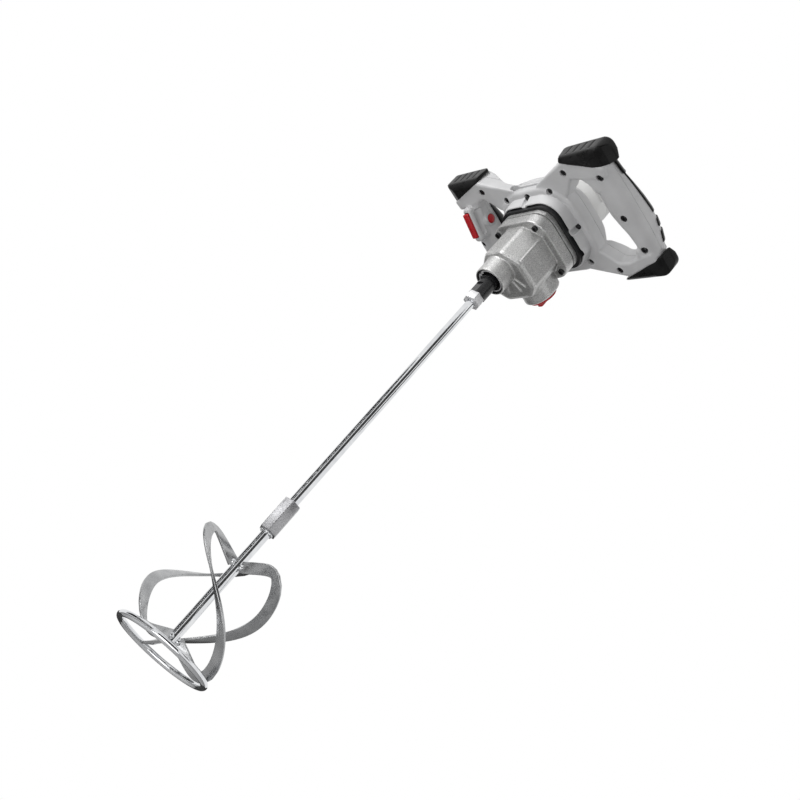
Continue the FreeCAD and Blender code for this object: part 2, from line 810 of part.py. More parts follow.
def make_gear_case():
    shoulder_z = case_z + s.case_shoulder
    front = rounded_wire(case_corners(s.case_shoulder * (1 - CASE_FRONT_SHARE) + s.case_wall),
                         float(s.case_wall))
    rear = rounded_wire(case_corners(ZERO), float(s.case_edge_radius))
    front.translate(point(0, 0, case_z))
    rear.translate(point(0, 0, shoulder_z))
    shoulder = Part.makeLoft([front, rear], True)
    nose = solid_cylinder(s.nose_radius, ZERO, shoulder_z)
    root = solid_cylinder(s.nose_radius + s.nose_root, case_z, shoulder_z)
    body = case_prism(ZERO, shoulder_z, flange_z)
    flange = prism(rounded_square(s.flange_half_width, s.flange_corner_radius, motor_y), flange_z,
                   plate_z)
    flange = flange.makeFillet(float(s.nose_lip), end_edges(flange, flange_z))
    case = body.fuse([shoulder, nose, root, flange])
    boss_axis = point(0, 1)
    boss_start = point(selector_x, s.case_bottom - s.case_corner, selector_z)
    boss_length = float(s.case_corner + s.selector_boss_reach)
    boss = Part.makeCylinder(float(s.selector_boss_radius), boss_length, boss_start, boss_axis)
    boss = boss.common(solid_box((-s.case_half_width, 0, case_z),
                                 (s.case_half_width, boss_start.y + boss_length, plate_z)))
    ears = [solid_cylinder(s.case_ear_radius, flange_z, plate_z, x, y)
            for x, y in screw_places(s.case_screw_place, motor_y)]
    ribs = []
    for index in range(RIBS):
        low_y = s.rib_start
        x = s.rib_pitch * (index + 1)
        ribs.append(solid_box((x, low_y, case_z - s.rib_height),
                              (x + s.rib_width, low_y + s.rib_length, shoulder_z)))
    case = case.fuse([boss, *ears, *ribs])
    inner_z = case_z + s.case_front_wall
    cavity = case_prism(s.case_wall, inner_z, flange_z + s.flange_front)
    rear_cavity = prism(rounded_square(s.flange_half_width - s.flange_wall,
                                       s.flange_corner_radius - s.flange_wall / 2, motor_y),
                        flange_z + s.flange_front, plate_z)
    lay_boss = solid_cylinder(s.lay_boss_radius, inner_z, low_z - s.face_gap, lay_x, lay_y)
    case = case.cut(cavity.cut(lay_boss).fuse(rear_cavity))
    bush_z = case_z + s.case_front_wall / 2
    drills = [
        solid_cylinder(s.seal_radius + s.seat_gap, -s.overrun, nose_bearing_z),
        solid_cylinder(s.clip_radius + s.seat_gap, clip_z - s.seat_gap, seal_z),
        solid_cylinder(s.nose_bearing_radius + s.seat_gap, seal_z, bearing_end_z + s.seat_gap),
        solid_cylinder(s.spindle_radius + s.face_gap, bearing_end_z, inner_z + s.overrun),
        solid_cylinder(s.lay_bush_radius + s.seat_gap, bush_z, inner_z + s.overrun, lay_x, lay_y),
        Part.makeCylinder(float(s.selector_shaft_radius + s.selector_bush_wall + s.seat_gap),
                          boss_length + float(s.overrun) * 2, boss_start - boss_axis * float(s.overrun),
                          boss_axis),
    ]
    for x, y in screw_places(s.case_screw_place, motor_y):
        drills.append(solid_cylinder(s.case_screw_radius + s.seat_gap, flange_z - s.overrun * 2, plate_z,
                                     x, y))
    for drill in drills:
        case = case.cut(drill)
    shaped("gear_case", case)
    bridge = case_prism(s.case_wall + s.seat_gap, bridge_z, bridge_top_z)
    bearing_z = bridge_top_z - s.rear_bearing_width
    bridge = bridge.cut(solid_cylinder(s.rear_bearing_radius + s.seat_gap, bearing_z, bridge_top_z))
    bridge = bridge.cut(solid_cylinder(s.rear_journal_radius + s.face_gap, bridge_z, bridge_top_z))
    bridge = bridge.cut(solid_cylinder(s.lay_radius + s.face_gap, bridge_z, bridge_top_z, lay_x, lay_y))
    shaped("bearing_bridge", bridge)
    ring("spindle_rear_bearing", s.rear_journal_radius + s.running_gap, s.rear_bearing_radius, bearing_z,
         bridge_top_z)
    ring("nose_bearing", s.spindle_journal_radius + s.running_gap, s.nose_bearing_radius, nose_bearing_z,
         bearing_end_z)
    ring("nose_seal", s.spindle_radius + s.running_gap, s.seal_radius, seal_z, seal_z + s.seal_width)
    ring("retaining_ring", s.clip_radius - s.clip_band, s.clip_radius, clip_z, clip_z + s.clip_width)
    plate_half = s.flange_half_width
    plate = prism(rounded_square(plate_half, s.flange_corner_radius, motor_y), plate_z, baffle_z)
    inner = rounded_square(plate_half - s.flange_wall - s.seat_gap,
                           s.flange_corner_radius - s.flange_wall / 2, motor_y)
    plate = plate.fuse(prism(inner, plate_inner_z, plate_z))
    holes = [
        solid_cylinder(s.arm_bearing_radius + s.seat_gap, arm_bearing_z, baffle_z, 0, motor_y),
        solid_cylinder(s.arm_shaft_radius + s.face_gap, plate_inner_z, baffle_z, 0, motor_y),
        solid_cylinder(s.lay_bearing_radius + s.seat_gap, plate_inner_z,
                       lay_bearing_z + s.lay_bearing_width
                       + s.seat_gap, lay_x, lay_y),
    ]
    for x, y in screw_places(s.case_screw_place, motor_y):
        plate = plate.fuse(solid_cylinder(s.case_ear_radius, plate_z, baffle_z, x, y))
        holes.append(solid_cylinder(s.case_screw_radius + s.seat_gap, plate_inner_z, baffle_z, x, y))
    for hole in holes:
        plate = plate.cut(hole)
    shaped("bearing_plate", plate)
    head_z = flange_z
    socket = s.case_screw_radius
    screws = []
    for x, y in screw_places(s.case_screw_place, motor_y):
        head = solid_cylinder(s.case_screw_head_radius, head_z - s.case_screw_head_length, head_z, x, y)
        head = head.cut(solid_cylinder(socket, head_z - s.case_screw_head_length,
                                       head_z - s.case_screw_head_length / 2, x, y))
        screws.append(head.fuse(solid_cylinder(s.case_screw_radius, head_z, head_z + s.case_screw_length,
                                               x, y)))
    shaped("case_screws", Part.makeCompound(screws))


# Speed selector: knob, bush and fork
def make_selector():
    axis = point(0, 1)
    boss_end = s.case_bottom + s.selector_boss_reach
    inner_end = s.case_bottom - s.case_corner + s.case_wall

    def rod(radius, start, end, x=selector_x, z=selector_z):
        return Part.makeCylinder(float(radius), float(end) - float(start), point(x, start, z), axis)

    bush_radius = s.selector_shaft_radius + s.selector_bush_wall
    bush = rod(bush_radius, inner_end, boss_end)
    shaped("selector_bush", bush.cut(rod(s.selector_shaft_radius + s.running_gap, inner_end, boss_end)))
    knob_start = boss_end + s.face_gap
    base_end = knob_start + s.knob_base
    knob_end = knob_start + s.knob_height
    disc = rod(s.knob_radius, knob_start, base_end)
    half = s.knob_grip_width / 2
    grip = solid_box((selector_x - half, base_end, selector_z - s.knob_radius),
                     (selector_x + half, knob_end, selector_z + s.knob_radius))
    grip = grip.common(rod(s.knob_radius, base_end, knob_end))
    shaft = rod(s.selector_shaft_radius, inner_end, knob_start)
    pin_x = selector_x - (s.eccentric * s.eccentric - half_throw * half_throw).root()
    pin_z = selector_z - half_throw
    pin_start = inner_end - s.pin_length
    pin = rod(s.pin_radius, pin_start, inner_end, pin_x, pin_z)
    shaped("selector_knob", disc.fuse(grip))
    shaped("selector_shaft", shaft.fuse(pin))
    low = fork_z - s.fork_thickness / 2
    high = fork_z + s.fork_thickness / 2
    inner = s.groove_radius + s.slide_gap
    outer = s.sleeve_radius + s.fork_arm
    yoke = solid_cylinder(outer, low, high).cut(solid_cylinder(inner, low, high))
    yoke = yoke.cut(solid_box((-outer, -outer, low), (outer, 0, high)))
    half_stem = s.fork_stem / 2
    block_start = inner_end - s.pin_length + s.face_gap
    block_end = inner_end - s.slide_gap
    stem = solid_box((pin_x - half_stem, inner, low), (pin_x + half_stem, block_end, high))
    stem = stem.cut(solid_cylinder(inner, low, high))
    clear = s.lay_radius + s.slide_gap
    yoke = yoke.cut(solid_cylinder(clear, low, high, lay_x, lay_y))
    slot_start = selector_x - s.eccentric - s.pin_radius - s.slide_gap
    block_x = slot_start - s.fork_wall
    block = solid_box((block_x, block_start, fork_z - s.fork_block_height / 2),
                      (block_x + s.fork_block_width, block_end, fork_z + s.fork_block_height / 2))
    slot_half = s.pin_radius + s.slide_gap
    slot = solid_box((slot_start, block_start - s.face_gap * 2, pin_z - slot_half),
                     (block_x + s.fork_block_width, block_end, pin_z + slot_half))
    shaped("shift_fork", yoke.fuse([stem, block]).cut(slot))


# Motor
def make_motor():
    y = motor_y
    pinion_z = lay_gear_z - s.face_gap
    pinion_phase = motor_angle + math.pi + math.pi / PINION_TEETH
    teeth = toothed(s.first_module, PINION_TEETH, 0, y, pinion_phase, pinion_z,
                    lay_gear_top_z + s.face_gap)
    neck = solid_cylinder(s.arm_shaft_radius, lay_gear_top_z + s.face_gap, commutator_top_z, 0, y)
    tail = solid_cylinder(s.tail_shaft_radius, commutator_top_z, tail_bearing_end_z, 0, y)
    shaped("armature_shaft", teeth.fuse([neck, tail]))
    shaft_gap = s.arm_shaft_radius + s.seat_gap
    ring("armature_front_bearing", s.arm_shaft_radius + s.running_gap, s.arm_bearing_radius,
         arm_bearing_z, arm_bearing_z + s.arm_bearing_width, ZERO, y)
    ring("armature_rear_bearing", s.tail_shaft_radius + s.running_gap, s.tail_bearing_radius,
         tail_bearing_z, tail_bearing_end_z, ZERO, y)
    core = solid_cylinder(s.core_radius, core_z, core_top_z, 0, y)
    slot_half = math.pi * float(s.core_radius) / CORE_SLOTS * CORE_SLOT_SHARE
    slot_floor = (s.core_radius + s.commutator_radius) / 2
    for index in range(CORE_SLOTS):
        slot = solid_box((slot_floor, y - slot_half, core_z),
                         (s.core_radius + s.overrun, y + slot_half, core_top_z))
        slot.rotate(point(0, y), point(0, 0, 1), index * 360 / CORE_SLOTS)
        core = core.cut(slot)
    shaped("armature_core", core.cut(solid_cylinder(shaft_gap, core_z, core_top_z, 0, y)))
    ends = []
    for low, high in ((core_z - s.winding_length, core_z), (core_top_z, core_top_z + s.winding_length)):
        end = solid_cylinder(s.winding_radius, low, high, 0, y)
        ends.append(end.cut(solid_cylinder(shaft_gap, low, high, 0, y)))
    shaped("armature_windings", Part.makeCompound(ends))
    bars = solid_cylinder(s.commutator_radius, commutator_z, commutator_top_z, 0, y)
    shaped("commutator", bars.cut(solid_cylinder(shaft_gap, commutator_z, commutator_top_z, 0, y)))
    disc_z = fan_top_z - s.fan_disc
    fan = solid_cylinder(s.fan_radius, disc_z, fan_top_z, 0, y)
    fan = fan.fuse(solid_cylinder(s.fan_hub_radius, fan_z, fan_top_z, 0, y))
    blade = solid_box((s.fan_hub_radius - s.fan_blade, y - s.fan_blade / 2, fan_z),
                      (s.fan_radius, y + s.fan_blade / 2, disc_z))
    blades = []
    for index in range(FAN_BLADES):
        turned_blade = blade.copy()
        turned_blade.rotate(point(0, y), point(0, 0, 1), index * 360 / FAN_BLADES)
        blades.append(turned_blade)
    shaped("cooling_fan", fan.fuse(blades).cut(solid_cylinder(shaft_gap, fan_z, fan_top_z, 0, y)))
    bore = s.core_radius + s.air_gap
    stator = solid_cylinder(stator_radius, core_z, core_top_z, 0, y)
    stator = stator.cut(solid_cylinder(bore, core_z, core_top_z, 0, y))
    slot_reach = bore + s.coil_thickness
    half_slot = s.slot_height / 2
    for side in (-1, 1):
        reach = slot_reach * side
        low_x, high_x = sorted((float(reach), 0.0))
        stator = stator.cut(solid_box((low_x, y - half_slot, core_z),
                                      (high_x, y + half_slot, core_top_z)))
    shaped("stator_core", stator)
    coils = []
    inner = bore + s.air_gap
    outer = slot_reach - s.air_gap
    low = core_z - s.coil_length
    high = core_top_z + s.coil_length
    band = solid_cylinder(outer, low, high, 0, y).cut(solid_cylinder(inner, low, high, 0, y))
    half_bar = half_slot - s.air_gap
    sides = solid_box((-outer, y - half_bar, low), (outer, y + half_bar, high))
    heads = solid_box((-outer, y - outer, low), (outer, y + outer, core_z - s.seat_gap))
    tops = solid_box((-outer, y - outer, core_top_z + s.seat_gap), (outer, y + outer, high))
    winding = band.common(sides.fuse([heads, tops]))
    gap = solid_box((-outer, y - s.air_gap, low), (outer, y + s.air_gap, high))
    for solid in winding.cut(gap).Solids:
        coils.append(solid)
    shaped("field_coils", Part.makeCompound(coils))
    brush_z = (commutator_z + commutator_top_z) / 2
    half_height = s.brush_height / 2
    half_width = s.brush_width / 2
    start = s.commutator_radius + s.brush_gap
    brush_end = start + s.brush_length
    wall = s.motor_radius - s.motor_wall - s.seat_gap
    brushes = []
    springs = []
    holders = []
    for side in (-1, 1):
        def block(low_x, high_x, margin):
            ends = sorted((float(low_x) * side, float(high_x) * side))
            return solid_box((ends[0], y - half_width - margin, brush_z - half_height - margin),
                             (ends[1], y + half_width + margin, brush_z + half_height + margin))
        brushes.append(block(start, brush_end, ZERO))
        holder = block(start + s.brush_gap * 5, wall, s.holder_wall)
        holder = holder.common(solid_cylinder(wall, brush_z - s.overrun * 2, brush_z + s.overrun * 2, 0,
                                              y))
        holders.append(holder.cut(block(start, brush_end + s.spring_length, s.seat_gap)))
        axis = point(side, 0)
        springs.append(Part.makeCylinder(float(s.spring_radius), float(s.spring_length),
                                         point(float(brush_end) * side, y, brush_z), axis))
    shaped("carbon_brushes", Part.makeCompound(brushes))
    shaped("brush_springs", Part.makeCompound(springs))
    shaped("brush_holders", Part.makeCompound(holders))


def make_housing():
    y = motor_y
    inner = s.motor_radius - s.motor_wall
    housing_z = handle_z
    tube = solid_cylinder(s.motor_radius, housing_z, cover_z, 0, y)
    tube = tube.cut(solid_cylinder(inner, housing_z, end_wall_z, 0, y))
    boss_radius = s.tail_bearing_radius + s.bearing_boss_wall
    tube = tube.fuse(solid_cylinder(boss_radius, end_wall_z, tail_bearing_end_z + s.bearing_boss_wall, 0,
                                    y))
    tube = tube.cut(solid_cylinder(s.tail_bearing_radius + s.seat_gap, end_wall_z, tail_bearing_end_z, 0,
                                   y))
    tube = tube.cut(solid_cylinder(s.tail_shaft_radius + s.face_gap, end_wall_z,
                                   tail_bearing_end_z + s.face_gap, 0, y))
    for x_place, y_place in screw_places(s.cover_screw_place / math.sqrt(2), y):
        tube = tube.cut(solid_cylinder(s.cover_screw_radius + s.seat_gap, cover_z - s.end_wall, cover_z,
                                       x_place, y_place))
    shaped("motor_housing", tube)
    outer = Part.makeCone(float(s.motor_radius), float(s.cover_end_radius), float(s.cover_length),
                          point(0, y, cover_z))
    hollow_end = cover_end_z - s.cover_wall
    hollow = Part.makeCone(float(inner), float(s.cover_end_radius - s.cover_wall),
                           float(hollow_end - cover_z),
                           point(0, y, cover_z))
    cover = outer.makeFillet(float(s.cover_wall), end_edges(outer, cover_end_z)).cut(hollow)
    vent_z = cover_z + s.cover_length / 2 - s.vent_length / 2
    for index in range(VENTS):
        vent = solid_box((s.cover_end_radius - s.overrun * 2, y - s.vent_width / 2, vent_z),
                         (s.motor_radius + s.overrun, y + s.vent_width / 2, vent_z + s.vent_length))
        vent.rotate(point(0, y), point(0, 0, 1), (index + 1 / 2) * 360 / VENTS)
        cover = cover.cut(vent)
    screws = []
    head_low = cover_end_z - s.cover_screw_head_length
    for x_place, y_place in screw_places(s.cover_screw_place / math.sqrt(2), y):
        post = solid_cylinder(s.cover_screw_head_radius, cover_z, hollow_end + s.seat_gap, x_place,
                              y_place)
        cover = cover.fuse(post)
    for x_place, y_place in screw_places(s.cover_screw_place / math.sqrt(2), y):
        cover = cover.cut(solid_cylinder(s.cover_screw_radius + s.seat_gap, cover_z, cover_end_z, x_place,
                                         y_place))
        cover = cover.cut(solid_cylinder(s.cover_screw_head_radius - s.seat_gap, head_low, cover_end_z,
                                         x_place, y_place))
        shank = solid_cylinder(s.cover_screw_radius, cover_z - s.end_wall, head_low, x_place, y_place)
        head_radius = s.cover_screw_head_radius - s.face_gap
        screws.append(shank.fuse(solid_cylinder(head_radius, head_low, cover_end_z, x_place, y_place)))
    inlet_y = y + s.inlet_place
    cover = cover.cut(solid_cylinder(s.inlet_radius - s.inlet_flange + s.seat_gap, hollow_end,
                                     cover_end_z, 0, inlet_y))
    shaped("rear_cover", cover)
    shaped("cover_screws", Part.makeCompound(screws))
    neck = s.inlet_radius - s.inlet_flange
    profile = [
        (s.inlet_bore, ZERO), (neck, ZERO), (neck, s.cover_wall), (s.inlet_radius, s.cover_wall),
        (s.inlet_radius, s.cover_wall + s.inlet_flange), (neck, s.cover_wall + s.inlet_length),
        (s.inlet_bore, s.cover_wall + s.inlet_length),
    ]
    turned("cord_inlet", profile, hollow_end, ZERO, inlet_y)
    boss_top = tail_bearing_end_z + s.bearing_boss_wall
    half = s.module_width / 2
    box("control_module", (-half, y - s.module_depth / 2, boss_top),
        (half, y + s.module_depth / 2, boss_top + s.module_length))


# Black air baffle between the bearing plate and the handle
def make_baffle():
    outer_half = s.collar_half_width - s.collar_wall - s.slide_gap
    outer = prism(rounded_square(outer_half, s.collar_corner_radius - s.collar_wall, motor_y),
                  baffle_z, baffle_z + s.baffle_length)
    inner_radius = s.fan_radius + s.baffle_wall
    inner = solid_cylinder(inner_radius, baffle_z + s.baffle_wall, baffle_z + s.baffle_length, 0, motor_y)
    eye = solid_cylinder(s.baffle_eye_radius, baffle_z, baffle_z + s.baffle_wall, 0, motor_y)
    shaped("air_baffle", outer.cut(inner).cut(eye))


# Handle shells, caps and inlays
def mirrored(points):
    """The right-hand outline continued round the left-hand side."""
    left = [point(-corner.x, corner.y) for corner in reversed(points)]
    return points + left


def handle_outline():
    half = [
        (s.strut_root, -s.ring_half_height), (cap_start_x, -s.handle_half_height),
        (cap_end_x, -s.handle_half_height),
        (s.handle_reach, -s.cap_side), (grip_x + s.grip_end_half_width, -s.cap_root),
    ]
    right = [point(x, motor_y + y) for x, y in half]
    right += [point(x, motor_y - y) for x, y in reversed(half)]
    return rounded_wire(mirrored(right), float(s.outline_radius))


def opening_outline(side):
    half = [
        (s.opening_root, -s.opening_root_height), (opening_tip_x, -s.opening_tip_height),
        (opening_end_x, -s.opening_end_height),
    ]
    corners = [point(float(x) * side, motor_y + y) for x, y in half]
    corners += [point(float(x) * side, motor_y - y) for x, y in reversed(half)]
    return rounded_wire(corners, float(s.outline_radius))


def grip_section(along, half_width, low, high, radius):
    centre = float(grip_x)
    wide = float(half_width)
    corners = [point(centre + wide, low), point(centre + wide, high), point(centre - wide, high),
               point(centre - wide, low)]
    wire = rounded_wire(corners, float(radius))
    wire.rotate(point(0, 0), point(1, 0), 90)
    wire.translate(point(0, motor_y + along))
    return wire


def grip(side, grow):
    """A grip bar, swelling from its ends to the middle."""
    end_half = s.grip_end_half_width + grow
    middle_half = s.grip_half_width + grow
    waist_half = (s.grip_end_half_width + s.grip_half_width) / 2 + grow
    low = grip_low_z - grow
    end_high = handle_top_z + grow
    middle_high = grip_top_z + grow
    waist_high = (handle_top_z + grip_top_z) / 2 + grow
    radius = s.grip_corner_radius + grow
    stations = (
        (-s.grip_half_length, end_half, end_high), (-s.grip_waist, waist_half, waist_high),
        (ZERO, middle_half, middle_high),
        (s.grip_waist, waist_half, waist_high), (s.grip_half_length, end_half, end_high),
    )
    bar = Part.makeLoft([grip_section(along, half, low, high, radius) for along, half, high in stations],
                        True)
    return bar if side > 0 else bar.mirror(point(0, 0), point(1, 0))


def grip_zone(side, half_length, low, high):
    ends = sorted((float(opening_end_x - s.overrun) * side, float(s.handle_reach + s.overrun) * side))
    return solid_box((ends[0], motor_y - half_length, low), (ends[1], motor_y + half_length, high))


def inlay_zone(side, grow):
    half = float(s.inlay_half_width + grow)
    length = s.inlay_half_length + grow
    x = float(grip_x) * side
    return solid_box((x - half, motor_y - length, grip_z),
                     (x + half, motor_y + length, grip_top_z + s.overrun))


def cap_zone(side, along, grow):
    """The corner of the handle outside the slanted line where a cap starts."""
    far = float(s.handle_reach + s.overrun)
    high = float(s.handle_half_height + s.overrun)
    drop = float(grow)
    corners = [(float(strut_tip_x), float(s.strut_tip_height) - drop), (far, float(s.cap_root) - drop),
               (far, high),
               (float(strut_tip_x) - float(s.outline_radius), high)]
    loop = [point(x * side, float(motor_y) + y * along) for x, y in corners]
    return prism(Part.makePolygon(loop + loop[:1]), handle_z - s.overrun, grip_top_z + s.overrun)


def screw_spots():
    spots = [(s.collar_screw_x, s.collar_screw_y), (strut_screw_x, s.strut_screw_y),
             (grip_screw_x, s.grip_screw_y)]
    places = [(float(x) * across, float(y) * along, handle_top_z) for x, y in spots for across,
              along in SQUARE]
    places.append((0.0, -float(s.collar_screw_y), handle_top_z))
    grip_post_z = grip_top_z - s.grip_wall - s.inlay_depth
    places += [(float(grip_screw_x), 0.0, grip_post_z), (-float(grip_screw_x), 0.0, grip_post_z)]
    return [(x, float(motor_y) + y, post_z) for x, y, post_z in places]


def handle_frame():
    plan = Part.Face(handle_outline())
    for side in (1, -1):
        plan = plan.cut(Part.Face(opening_outline(side)))
    frame = plan.Faces[0].translated(point(0, 0, handle_z)).extrude(point(0, 0, s.strut_thickness))
    frame = frame.makeFillet(float(s.handle_edge_radius), end_edges(frame, handle_z, handle_top_z))
    wires = []
    for height, half in ((rim_z, s.collar_half_width),
                         (handle_z + s.overrun, s.collar_half_width + s.collar_flare)):
        wire = rounded_square(half, s.collar_corner_radius, motor_y)
        wire.translate(point(0, 0, height))
        wires.append(wire)
    core_plan = plan.Faces[0].makeOffset2D(-float(s.grip_wall))
    core = core_plan.translated(point(0, 0, handle_z + s.grip_wall)).extrude(point(0, 0,
                                                                                   s.strut_thickness - s.grip_wall * 2))
    ring_half = s.collar_half_width + s.collar_flare
    core = core.cut(prism(rounded_square(ring_half, s.collar_corner_radius, motor_y), handle_z,
                          handle_top_z))
    for across, along in SQUARE:
        core = core.cut(cap_zone(across, along, s.grip_wall))
    for side in (1, -1):
        frame = frame.cut(grip_zone(side, s.grip_waist, rim_z, grip_top_z))
        core = core.cut(grip_zone(side, s.grip_half_length, rim_z, grip_top_z))
    return frame.cut(core).fuse(Part.makeLoft(wires, True))


def make_handle():
    y = motor_y
    body = handle_frame().fuse([grip(1, ZERO), grip(-1, ZERO)])
    x = -trigger_x
    trigger_y = y - s.trigger_place_y
    half_wide = s.trigger_width / 2 + s.surround_wall
    half_long = s.trigger_length / 2 + s.surround_wall
    surround_z = handle_z - s.surround_reach
    surround = solid_box((x - half_wide, trigger_y - half_long, surround_z),
                         (x + half_wide, trigger_y + half_long, split_z))
    surround = surround.makeFillet(float(s.surround_edge_radius), [
        edge for edge in surround.Edges if edge.BoundBox.ZMin < float(handle_z)])
    body = body.fuse(surround)
    hollow_half = s.collar_half_width - s.collar_wall
    hollow = prism(rounded_square(hollow_half, s.collar_corner_radius - s.collar_wall, y), rim_z,
                   baffle_z + s.baffle_length + s.face_gap)
    bore = solid_cylinder(s.motor_radius + s.bore_gap, rim_z, handle_top_z, 0, y)
    body = body.cut(hollow.fuse(bore))
    for side in (1, -1):
        body = body.cut(grip(side, -s.grip_wall).common(grip_zone(side, s.grip_waist, handle_z,
                                                                  grip_top_z)))
        groove = inlay_zone(side, s.seat_gap).cut(grip(side, -s.inlay_depth))
        body = body.cut(groove)
        strip = inlay_zone(side, ZERO).common(grip(side, s.inlay_proud)).cut(grip(side,
                                                                                  s.seat_gap - s.inlay_depth))
        shaped("grip_inlay_right" if side > 0 else "grip_inlay_left", strip)
    names = {(1, -1): "bumper_cap_right_top", (1, 1): "bumper_cap_right_bottom",
             (-1, -1): "bumper_cap_left_top", (-1, 1): "bumper_cap_left_bottom"}
    for (side, along), name in names.items():
        zone = cap_zone(side, along, ZERO)
        shaped(name, max(body.common(zone).Solids, key=lambda solid: solid.Volume))
        body = body.cut(zone)
    head_z = handle_z + s.screw_recess_depth
    shank_z = head_z + s.screw_head_length
    screw_end = head_z + s.screw_length
    screws = []
    for spot_x, spot_y, post_z in screw_spots():
        post = solid_cylinder(s.screw_recess_radius + s.grip_wall, handle_z + s.grip_wall, post_z, spot_x,
                              spot_y)
        body = body.fuse(post)
    for spot_x, spot_y, _ in screw_spots():
        body = body.cut(solid_cylinder(s.screw_recess_radius, rim_z, shank_z, spot_x, spot_y))
        body = body.cut(solid_cylinder(s.screw_radius + s.seat_gap, shank_z, screw_end, spot_x, spot_y))
        head = solid_cylinder(s.screw_head_radius, head_z, shank_z, spot_x, spot_y)
        screws.append(head.fuse(solid_cylinder(s.screw_radius, shank_z, screw_end, spot_x, spot_y)))
    shaped("shell_screws", Part.makeCompound(screws))
    slot_wide = s.trigger_width / 2 + s.slide_gap
    slot_long = s.trigger_length / 2 + s.slide_gap
    pad_z = handle_z - s.trigger_reach + s.trigger_pad + s.trigger_stroke + s.face_gap
    body = body.cut(solid_box((x - slot_wide, trigger_y - slot_long, surround_z),
                              (x + slot_wide, trigger_y + slot_long, pad_z)))
    stem_x = x - half_stem_shift()
    stem_wide = s.trigger_stem_width / 2 + s.slide_gap
    stem_long = s.trigger_stem_length / 2 + s.slide_gap
    body = body.cut(solid_box((stem_x - stem_wide, trigger_y - stem_long, pad_z),
                              (stem_x + stem_wide, trigger_y + stem_long, foot_z())))
    margin = s.trigger_foot_margin + s.slide_gap
    body = body.cut(solid_box((stem_x - stem_wide - margin, trigger_y - stem_long - margin,
                               foot_z() - s.face_gap),
                              (stem_x + stem_wide, trigger_y + stem_long + margin, split_z)))
    lock_y = y - s.lock_place_y
    lock_z = handle_z + s.lock_height
    face_x = s.grip_half_width - grip_x
    inside_x = face_x - s.grip_wall
    flange_radius = s.lock_radius + s.lock_flange_margin
    depth = s.lock_flange + s.lock_tip + s.lock_stroke + s.face_gap * 2
    body = body.cut(Part.makeCylinder(float(s.lock_radius + s.slide_gap),
                                      float(s.grip_wall + s.overrun * 2),
                                      point(face_x + s.overrun, lock_y, lock_z), point(-1, 0)))
    body = body.cut(Part.makeCylinder(float(flange_radius + s.slide_gap), float(depth),
                                      point(inside_x, lock_y, lock_z), point(-1, 0)))

    def turn(radius, start, end):
        return Part.makeCylinder(float(radius), float(start) - float(end), point(start, lock_y, lock_z),
                                 point(-1, 0))

    button_end = inside_x - s.face_gap
    flange_end = button_end - s.lock_flange
    head = turn(s.lock_radius, face_x + s.lock_proud, button_end)
    head = head.makeFillet(float(s.lock_tip),
                           [edge for edge in head.Edges if edge.BoundBox.XMin > float(face_x)])
    button = head.fuse([turn(flange_radius, button_end, flange_end),
                        turn(s.lock_radius, flange_end, flange_end - s.lock_tip)])
    shaped("lock_button", button)
    far = s.handle_reach + s.overrun
    high = s.handle_half_height + s.overrun
    front_zone = solid_box((-far, y - high, rim_z - s.overrun), (far, y + high, split_z))
    rear_zone = solid_box((-far, y - high, split_z), (far, y + high, grip_top_z + s.overrun))
    shaped("handle_front_shell", body.common(front_zone))
    shaped("handle_rear_shell", body.common(rear_zone))


def half_stem_shift():
    return (s.trigger_width - s.trigger_stem_width) / 2


def foot_z():
    return grip_low_z + s.grip_wall + s.face_gap


def make_switch():
    y = motor_y - s.trigger_place_y
    x = -trigger_x
    tip = handle_z - s.trigger_reach
    pad_end = tip + s.trigger_pad
    half_wide = s.trigger_width / 2
    half_long = s.trigger_length / 2
    pad = solid_box((x - half_wide, y - half_long, tip), (x + half_wide, y + half_long, pad_end))
    pad = pad.makeFillet(float(s.trigger_edge_radius), [
        edge for edge in pad.Edges if edge.BoundBox.ZMin < float(pad_end) - float(s.seat_gap)])
    stem_x = x - half_stem_shift()
    stem_wide = s.trigger_stem_width / 2
    stem_long = s.trigger_stem_length / 2
    foot_end = foot_z() + s.trigger_foot
    stem = solid_box((stem_x - stem_wide, y - stem_long, pad_end - s.seat_gap),
                     (stem_x + stem_wide, y + stem_long, foot_end))
    margin = s.trigger_foot_margin
    foot = solid_box((stem_x - stem_wide - margin, y - stem_long - margin, foot_z()),
                     (stem_x + stem_wide, y + stem_long + margin, foot_end))
    bore_floor = pad_end + s.trigger_foot
    bore_radius = s.return_spring_radius + s.spring_bore_gap
    trigger = pad.fuse([stem, foot]).cut(solid_cylinder(bore_radius, bore_floor, foot_end, stem_x, y))
    shaped("trigger", trigger)
    switch_z = foot_end + s.trigger_stroke + s.trigger_foot
    spring = solid_cylinder(s.return_spring_radius, bore_floor + s.trigger_stroke + s.face_gap, switch_z,
                            stem_x, y)
    hole = solid_cylinder(s.return_spring_radius - s.return_wire, bore_floor, switch_z, stem_x, y)
    shaped("trigger_spring", spring.cut(hole))
    half_switch = s.switch_width / 2
    half_length = s.switch_length / 2
    block_x = -grip_x
    block = solid_box((block_x - half_switch, y - half_length, switch_z),
                      (block_x + half_switch, y + half_length, grip_top_z))
    shaped("switch_block", block.common(grip(-1, -s.grip_wall - s.face_gap)))


make_paddle()
make_spindle()
make_lay_shaft()
make_gear_case()
make_selector()
make_motor()
make_housing()
make_baffle()
make_handle()
make_switch()
doc.recompute()

